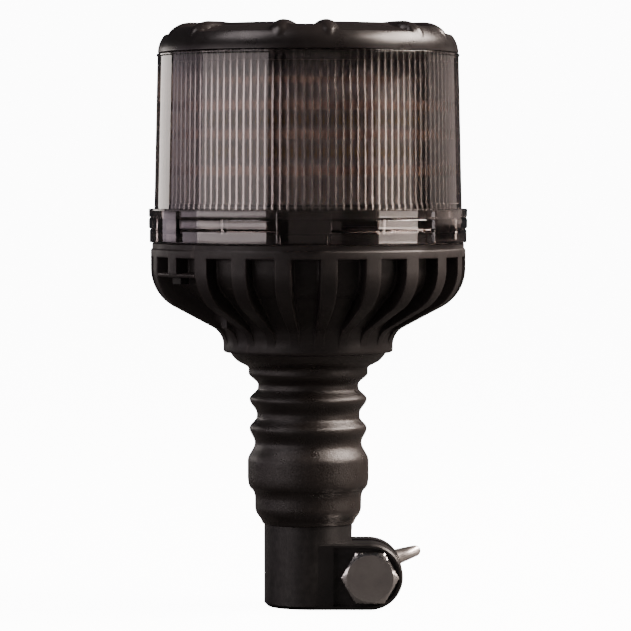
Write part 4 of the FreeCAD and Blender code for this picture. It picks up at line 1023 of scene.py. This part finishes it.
class BEACON_OT_neck(bpy.types.Operator):
    """Rubber neck in two halves, and the two leads inside it"""

    bl_idname = "beacon.neck"
    bl_label = "Flexible neck"

    def execute(self, context):
        finish = moulded("Black rubber", colours().rubber, (0.26, 0.38), (1700.0, 0.0001), wear=0.25)
        halves = (
            ("neck_lower", False, "socket", "neck", BEND_FOOT, NECK_SPLIT - SPLIT_GAP),
            ("neck_upper", True, "neck", "head", NECK_SPLIT + SPLIT_GAP, BEND_TOP),
        )
        for name, upper, first, second, start, end in halves:
            piece = skin(name, neck_half(upper), sharp=50.0)
            dress(piece, finish)
            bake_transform(piece)
            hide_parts("flex_neck")
        self.make_lead("live_lead", (0.32, 0.012, 0.01), "red_wire")
        self.make_lead("return_lead", (0.012, 0.012, 0.012), "black_wire")
        return {"FINISHED"}

    def make_lead(self, node, colour, slot):
        """One lead, a straight rod cut at the middle waist."""
        finish = moulded(f"Sleeve of {node}", colour, (0.35, 0.5), (1800.0, 0.00002), wear=0.0)
        bottom = low(node)[2]
        top = high(node)[2]
        for name, start, end, first, second, blend_start, blend_end in (
            ("lower", bottom, NECK_SPLIT, "socket", "neck", LEAD_BEND_FOOT, NECK_SPLIT - SPLIT_GAP),
            ("upper", NECK_SPLIT, top, "neck", "head", NECK_SPLIT + SPLIT_GAP, BEND_TOP),
        ):
            piece = skin(f"{node}_{name}", lead_surface(node, start, end), loop=False)
            dress(piece, finish)
            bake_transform(piece)
            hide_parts(node)


# Socket, clamp and contacts
PLATED = (0.55, 0.56, 0.57)
SPRING_WIRE = 0.4
SPRING_POINTS = 200
HEAD_TALL = 6.4
HEAD_FACE = 0.925
HEAD_EDGE = 0.5
HEAD_CHAMFER = math.radians(30.0)
SHANK = 4.9
THREAD_LEAD = 8.0
THREAD_STEPS = 8.0
THREAD_RUN_IN = 2.0
THREAD_GAP = 0.1
BOLT_POINT = 0.6
POINT_TAPER = 0.5
HUB_RADIUS = 8.0
HUB_BORE = 5.05
HUB_TAPER = 1.4
HUB_BAND = 1.6
HUB_HEIGHT = 9.0
WING_START = 5.7
WING_SPAN = 18.9
WING_TURN = math.radians(17.0)
WING_HALF = (3.8, 1.75)
TALL_END = 0.7
WIDE_END = 0.905
# Edges of a wing: shares of its span, and of the nut's height there
WING_LOWER = np.array([(0.21, 0.2), (0.5, 0.3), (0.8, 0.44), (1.0, 0.56)])
WING_UPPER = np.array([(0.31, 0.55), (0.42, 0.72), (0.55, 0.93), (0.68, 1.0), (0.82, 1.0), (1.0, 0.86)])


def bolt_surface():
    """Hex bolt about its line: the head's radius is flat / cos(a) on each sixth, cut by a cone at its face.

    Along the tail the radius falls by a saw-tooth of the travel less the turn, which is the thread.
    """
    given = sizes()
    pitch = given.thread_pitch / MM
    face = low("clamp_bolt")[1]
    end = high("clamp_bolt")[1]
    flat = (high("clamp_bolt")[2] - low("clamp_bolt")[2]) / 2
    ring = repeated(even(24), 6, 0.0)
    hexagon = flat / np.cos(near(ring, SIXTH / 2, SIXTH))
    chamfer = [0.0, 0.0, 0.25, 0.5, 0.8, 1.2, 1.7, 2.4]
    head_travel = face + np.r_[chamfer, HEAD_TALL - HEAD_EDGE, HEAD_TALL]
    cone = flat * HEAD_FACE + (head_travel[None] - face) / math.tan(HEAD_CHAMFER)
    head = np.minimum(hexagon, cone)
    head[:, 0] = 0.0
    thread_start = high("clamp_washer")[1] - THREAD_LEAD
    tail = np.arange(thread_start, end - BOLT_POINT - THREAD_GAP, pitch / THREAD_STEPS)
    turns = (tail[None] - thread_start) / pitch - ring / TURN
    saw = np.abs(turns % 1.0 - 0.5) * 2.0
    run_in = np.clip((tail - thread_start) / THREAD_RUN_IN, 0.0, 1.0)[None]
    thread = SHANK - given.thread_depth / MM * (1.0 - saw) * run_in
    plain_travel = [face + HEAD_TALL, thread_start - THREAD_GAP / 10]
    travel = np.r_[head_travel, plain_travel, tail, end - BOLT_POINT, end, end]
    plain = np.full((len(ring), 2), SHANK)
    point = np.tile([SHANK - POINT_TAPER, SHANK - 2 * POINT_TAPER, 0.0], (len(ring), 1))
    return along_bolt(np.hstack([head, plain, thread, point]), travel[None], ring)


def hub_surface():
    """Hub of the wing nut: a band and a cone turned about the bolt's line, with a plain bore."""
    foot = low("wing_nut")[1]
    top = foot + HUB_HEIGHT
    line = soft_corners([
        (HUB_BORE, foot), (HUB_RADIUS, foot), (HUB_RADIUS, foot + HUB_BAND),
        (HUB_RADIUS - HUB_TAPER, top), (HUB_BORE, top),
    ], reach=0.5, steps=5)
    return along_bolt(line[None, :, 0], line[None, :, 1], full_turn(64))


def round_end(share, start):
    """Round end of a shape: sqrt(1 - t^2), where t runs from 0 at a start to 1 at the end."""
    t = np.clip(share - start, 0.0, None) / (1.0 - start)
    return np.sqrt(np.clip(1.0 - t**2, 0.0, 1.0))


def wing_surface(side):
    """One wing of the nut: ovals across its length, between a lower and an upper edge.

    The half-width falls evenly to the tip, and near the tip both halves end round.
    """
    bottom = low("wing_nut")[1]
    rise = high("wing_nut")[1] - bottom
    along = WING_START + (WING_SPAN - WING_START) * np.sin(np.linspace(0.0, QUARTER, 48))
    share = along / WING_SPAN
    lower = np.interp(share, WING_LOWER[:, 0], WING_LOWER[:, 1] * rise)
    upper = np.interp(share, WING_UPPER[:, 0], WING_UPPER[:, 1] * rise)
    tall = np.r_[0.0, (upper - lower) / 2 * round_end(share, TALL_END)]
    wide = np.r_[0.0, np.interp(share, [0.0, 1.0], WING_HALF) * round_end(share, WIDE_END)]
    middle = np.r_[(lower + upper)[0] / 2, (lower + upper) / 2]
    along = side * np.r_[along[0], along][None]
    ring = full_turn(32)
    across = wide[None] * np.cos(ring)
    travel = bottom + middle[None] + tall[None] * np.sin(ring)
    centre = middle_of("clamp_washer")
    x = centre[0] + along * math.cos(WING_TURN) - across * math.sin(WING_TURN)
    z = centre[2] + along * math.sin(WING_TURN) + across * math.cos(WING_TURN)
    return np.stack([x, travel, z], axis=-1) * MM


def spring_surface():
    """Round wire along a helix between the two ends of the contact spring."""
    bottom = low("contact_spring")
    top = high("contact_spring")
    reach = (top[0] - bottom[0]) / 2 - SPRING_WIRE
    share = np.linspace(0.0, 1.0, SPRING_POINTS)
    angle = share * sizes().spring_turns * TURN
    rise = bottom[2] + SPRING_WIRE + (top[2] - bottom[2] - 2 * SPRING_WIRE) * share
    path = np.stack([reach * np.cos(angle), reach * np.sin(angle), rise], axis=1)
    thick = np.r_[0.0, np.full(SPRING_POINTS - 2, SPRING_WIRE), 0.0]
    return tube(path, thick, sides=12) * MM


class BEACON_OT_socket(bpy.types.Operator):
    """Pole socket with its clamp and contacts"""

    bl_idname = "beacon.socket"
    bl_label = "Pole socket"

    def execute(self, context):
        plastic = moulded("Black socket", colours().socket, (0.34, 0.46), (2400.0, 0.00002), wear=0.4)
        dress_nodes(["pole_socket"], plastic)
        steel = metal("Stainless steel", colours().steel, (0.12, 0.22), depth=0.00001)
        dress_nodes(["clamp_washer"], steel)
        cast = metal("Cast steel", colours().cast, (0.3, 0.42), depth=0.00001)
        for name, surface, loop in (
            ("nut_hub", hub_surface(), True),
            ("nut_wing_front", wing_surface(1.0), False),
            ("nut_wing_rear", wing_surface(-1.0), False),
        ):
            part = skin(name, surface, loop=loop, sharp=50.0)
            dress(part, cast)
            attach(part, "nut")
            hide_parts("wing_nut")
        bolt = skin("threaded_bolt", bolt_surface(), loop=False, sharp=25.0)
        dress(bolt, steel)
        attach(bolt, "socket")
        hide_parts("clamp_bolt")
        brass = metal("Brass", colours().brass, (0.22, 0.4))
        dress_nodes(["centre_contact", "return_contact"], brass)
        natural = (0.35, 0.32, 0.27)
        insulator = moulded("Insulator", natural, (0.4, 0.55), (1500.0, 0.00002), wear=0.0, contrast=0.08)
        dress_nodes(["contact_carrier"], insulator)
        zinc = metal("Zinc plated steel", PLATED, (0.3, 0.45))
        dress_nodes(["carrier_nut"], zinc)
        spring = skin("contact_coil", spring_surface(), loop=False)
        dress(spring, metal("Spring steel", (0.42, 0.41, 0.40), (0.25, 0.4)))
        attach(spring, "socket")
        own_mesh(spring)
        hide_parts("contact_spring")
        return {"FINISHED"}


# Light tower and driver
PACKAGE = 3.4
PACKAGE_COLUMNS = np.array([-5.0, 0.0, 5.0])
DOME_RADIUS = 1.3
DOME_SIDES = 12
DOME_RINGS = 5


def led_domes():
    """One clear dome on each emitter package: a hemisphere, z = sqrt(r^2 - d^2), carried to every package.

    The packages stand in three columns and two rows on each face of the column.
    """
    bottom = low("led_emitters_1")
    top = high("led_emitters_1")
    rows = np.array([bottom[2] + PACKAGE / 2, top[2] - PACKAGE / 2])
    face = -bottom[1]
    across, up = (grid.reshape(-1, 1, 1) for grid in np.meshgrid(PACKAGE_COLUMNS, rows))
    ring = full_turn(DOME_SIDES)
    tilt = np.linspace(0.0, QUARTER, DOME_RINGS)[None]
    flat_x = across + DOME_RADIUS * np.sin(tilt) * np.cos(ring)
    flat_z = up + DOME_RADIUS * np.sin(tilt) * np.sin(ring)
    stand = face + DOME_RADIUS * np.cos(tilt) + np.zeros_like(flat_x)
    turn = (np.arange(6) * SIXTH)[:, None, None, None]
    x = flat_x[None] * np.cos(turn) + stand[None] * np.sin(turn)
    y = flat_x[None] * np.sin(turn) - stand[None] * np.cos(turn)
    z = np.broadcast_to(flat_z[None], x.shape)
    return np.stack([x, y, z], axis=-1).reshape(-1, DOME_SIDES, DOME_RINGS, 3) * MM


def domes_piece(name, domes):
    """Joins the domes into one mesh, each closed by a flat foot."""
    index = numbers_of(domes)
    quads = other_side(grid_quads(index, loop=False))
    feet = index[:, ::-1, -1]
    return piece_of(name, domes, quads.tolist() + feet.tolist(), sharp=40.0)


class BEACON_OT_tower(bpy.types.Operator):
    """Light tower behind the lens, and the driver inside the bowl"""

    bl_idname = "beacon.tower"
    bl_label = "Light tower"

    def execute(self, context):
        faces = range(1, 7)
        plain_grain = (1500.0, 0.00002)
        plated = metal("Warm plating", colours().copper, (0.28, 0.42))
        dress_nodes(["reflector_lower", "reflector_middle", "reflector_upper", "tower_plate"], plated)
        aluminium = metal("Aluminium", (0.60, 0.60, 0.61), (0.3, 0.45))
        dress_nodes(["light_core", "chassis_plate"], aluminium)
        zinc = metal("Plated fixings", PLATED, (0.28, 0.42))
        dress_nodes([
            "board_screws", "clamp_ring_screws", "core_screws", "plate_screws", "tie_nuts",
            "spacers_lower", "spacers_middle", "spacers_upper", "spacers_top", "neck_clamp_ring",
        ], zinc)
        pale = (0.62, 0.61, 0.58)
        white = moulded("White board", pale, (0.35, 0.5), (900.0, 0.00001), wear=0.0, contrast=0.06)
        dress_nodes([f"led_board_{face}" for face in faces], white)
        amber = (0.72, 0.55, 0.16)
        emitter = moulded("Emitter", amber, (0.2, 0.35), (1200.0, 0.00001), wear=0.0, contrast=0.12)
        dress_nodes([f"led_emitters_{face}" for face in faces], emitter)
        domes = domes_piece("led_domes", led_domes())
        straw = (0.80, 0.66, 0.30)
        clear = moulded("Emitter dome", straw, (0.06, 0.14), (800.0, 0.000004), wear=0.0, contrast=0.08)
        dress(domes, clear)
        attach(domes, "head")
        mask = colours().board
        green = moulded("Green board", mask, (0.3, 0.45), (700.0, 0.00002), wear=0.1, contrast=0.2)
        dress_nodes(["driver_board"], green)
        dark = moulded("Dark parts", (0.02, 0.02, 0.022), (0.35, 0.5), plain_grain, wear=0.2)
        dress_nodes(["driver_chips", "inductor", "capacitors", "lead_grommet", "lens_seal"], dark)
        black = moulded("Blackened screw", (0.004, 0.0036, 0.0035), (0.6, 0.7), plain_grain, wear=0.0)
        dress_nodes(["lens_lock_screw"], black)
        terminal = moulded("Terminal", (0.05, 0.22, 0.10), (0.35, 0.5), plain_grain, wear=0.1)
        dress_nodes(["terminal_block"], terminal)
        return {"FINISHED"}


# Stage: the floor's rings in millimetres, places in metres and angles in degrees
FLOOR_RINGS = np.array([[0.0, 200.0, 1000.0, 3000.0]])
BRIGHT = 12.0
DIM_SKY = (0.03, 0.03, 0.033, 1.0)
BRIGHT_SKY = (BRIGHT, BRIGHT, BRIGHT, 1.0)
LIGHT_AIM = Vector((0.0, 0.0, 0.13))
CAMERA_PLACE = (0.0025, -1.190, 0.1467)
CAMERA_FALL = 2.305
# Soft boxes: azimuth, rise, reach, width and height, radiance and tint
SOFT_BOXES = (
    ("key_box", 67.0, 0.1, 0.95, (0.56, 0.05), 6.4, (1.0, 0.84, 0.75)),
    ("key_foot", 67.0, -2.05, 0.95, (0.56, 0.022), 18.0, (1.0, 0.84, 0.75)),
    ("key_wash", 67.0, 3.97, 0.95, (0.56, 0.078), 1.1, (1.0, 0.84, 0.76)),
    ("high_right_box", 92.0, 41.0, 1.0, (0.8, 0.38), 36.0, (1.0, 0.85, 0.76)),
    ("high_left_box", -65.0, 52.0, 1.0, (0.5, 0.5), 4.5, (1.0, 0.88, 0.89)),
    ("fill_box", -57.0, 4.8, 1.0, (1.06, 0.32), 2.5, (1.0, 0.87, 0.87)),
    ("fill_foot", -57.0, -0.86, 1.0, (1.06, 0.016), 3.0, (1.0, 0.87, 0.87)),
    ("rim_strip", -137.0, 4.5, 1.2, (0.5, 0.17), 4.0, (1.0, 0.91, 0.86)),
    ("left_wall", -103.0, 3.0, 1.1, (0.75, 0.26), 0.7, (0.97, 0.82, 0.92)),
    ("left_foot", -103.0, -0.9, 1.1, (0.75, 0.018), 1.3, (0.97, 0.82, 0.92)),
    ("right_wall", 123.0, 4.5, 1.1, (0.9, 0.204), 0.68, (1.0, 0.83, 0.76)),
    ("front_box", 5.0, 2.0, 1.35, (0.9, 0.3), 0.25, (1.0, 0.82, 0.78)),
)


class BEACON_OT_stage(bpy.types.Operator):
    """Pale floor, soft boxes and the camera"""

    bl_idname = "beacon.stage"
    bl_label = "Stage"

    def execute(self, context):
        self.make_floor()
        for row in SOFT_BOXES:
            self.make_box(*row)
        self.make_sky()
        self.make_camera()
        return {"FINISHED"}

    def make_floor(self):
        """Round floor, rings about the axis, that the camera sees pale and the beacon sees dim."""
        points = about_axis(FLOOR_RINGS, 0.0, full_turn(96))
        quads = other_side(grid_quads(numbers_of(points), loop=False))
        floor = piece_of("floor", points, quads.tolist())
        material, tree, sockets = new_material("Pale floor")
        pale = colours().floor
        body = mottled(tree, pale, cloud=3.0, shares=(0.99, 1.01), polish=(0.6, 0.7))
        seen = tree.nodes.new("ShaderNodeLightPath").outputs["Is Camera Ray"]
        dim = shade(pale, share=0.05)
        tree.links.new(mix_node(tree, seen, dim, body["Color"]), sockets["Base Color"])
        tree.links.new(mix_node(tree, seen, BLACK, WHITE), sockets["Emission Color"])
        tree.links.new(body["Roughness"], sockets["Roughness"])
        sockets["Emission Strength"].default_value = BRIGHT
        floor.data.materials.append(material)

    def make_box(self, name, azimuth, rise, reach, size, radiance, colour):
        """One soft box that faces the middle of the beacon. The rim strip isn't seen through the lens."""
        turn = math.radians(azimuth)
        lift = math.radians(rise)
        level = math.cos(lift)
        way = Vector((math.sin(turn) * level, -math.cos(turn) * level, math.sin(lift)))
        width, tall = size
        lamp = bpy.data.lights.new(name, "AREA")
        lamp.shape = "RECTANGLE"
        lamp.size = width
        lamp.size_y = tall
        lamp.energy = radiance * math.pi * width * tall
        lamp.color = colour
        holder = bpy.data.objects.new(name, lamp)
        holder.location = LIGHT_AIM + way * reach
        holder.rotation_euler = (-way).to_track_quat("-Z", "Y").to_euler()
        holder.visible_camera = False
        holder.visible_transmission = name != "rim_strip"
        bpy.context.scene.collection.objects.link(holder)

    def make_sky(self):
        """Surroundings that the camera sees bright and the beacon sees dim."""
        world = bpy.data.worlds.new("Studio")
        world.use_nodes = True
        tree = world.node_tree
        sky = tree.nodes["Background"].inputs
        seen = tree.nodes.new("ShaderNodeLightPath").outputs["Is Camera Ray"]
        tree.links.new(mix_node(tree, seen, DIM_SKY, BRIGHT_SKY), sky["Color"])
        bpy.context.scene.world = world

    def make_camera(self):
        """Long lens a little above the middle, looking along +Y and slightly down."""
        view = bpy.data.cameras.new("view")
        view.lens = 200.0
        view.sensor_width = 36.0
        view.clip_start = 0.05
        view.clip_end = 20.0
        holder = bpy.data.objects.new("view", view)
        holder.location = CAMERA_PLACE
        holder.rotation_euler = (math.radians(90.0 - CAMERA_FALL), 0.0, 0.0)
        bpy.context.scene.collection.objects.link(holder)
        bpy.context.scene.camera = holder


PIECES = (
    BEACON_OT_cap,
    BEACON_OT_lens,
    BEACON_OT_bowl,
    BEACON_OT_neck,
    BEACON_OT_socket,
    BEACON_OT_tower,
    BEACON_OT_stage,
)


class BEACON_PT_sidebar(bpy.types.Panel):
    """Lists the beacon's pieces"""

    bl_idname = "BEACON_PT_sidebar"
    bl_label = "LED beacon"
    bl_space_type = "VIEW_3D"
    bl_region_type = "UI"
    bl_category = "Beacon"

    def draw(self, context):
        for piece in PIECES:
            self.layout.operator(piece.bl_idname)
        for group in (sizes(), colours()):
            for name in group.bl_rna.properties.keys():
                if name not in {"rna_type", "name"}:
                    self.layout.prop(group, name)


CLASSES = (BeaconSizes, BeaconColours, *PIECES, BEACON_PT_sidebar)


def register():
    for item in CLASSES:
        bpy.utils.register_class(item)
    bpy.types.Scene.beacon_sizes = bpy.props.PointerProperty(type=BeaconSizes)
    bpy.types.Scene.beacon_colours = bpy.props.PointerProperty(type=BeaconColours)


def unregister():
    del bpy.types.Scene.beacon_colours
    del bpy.types.Scene.beacon_sizes
    for item in reversed(CLASSES):
        bpy.utils.unregister_class(item)


def main():
    """Makes every piece in order."""
    register()
    for piece in PIECES:
        area, name = piece.bl_idname.split(".")
        getattr(getattr(bpy.ops, area), name)()
    bpy.context.view_layer.update()


if __name__ == "__main__":
    main()
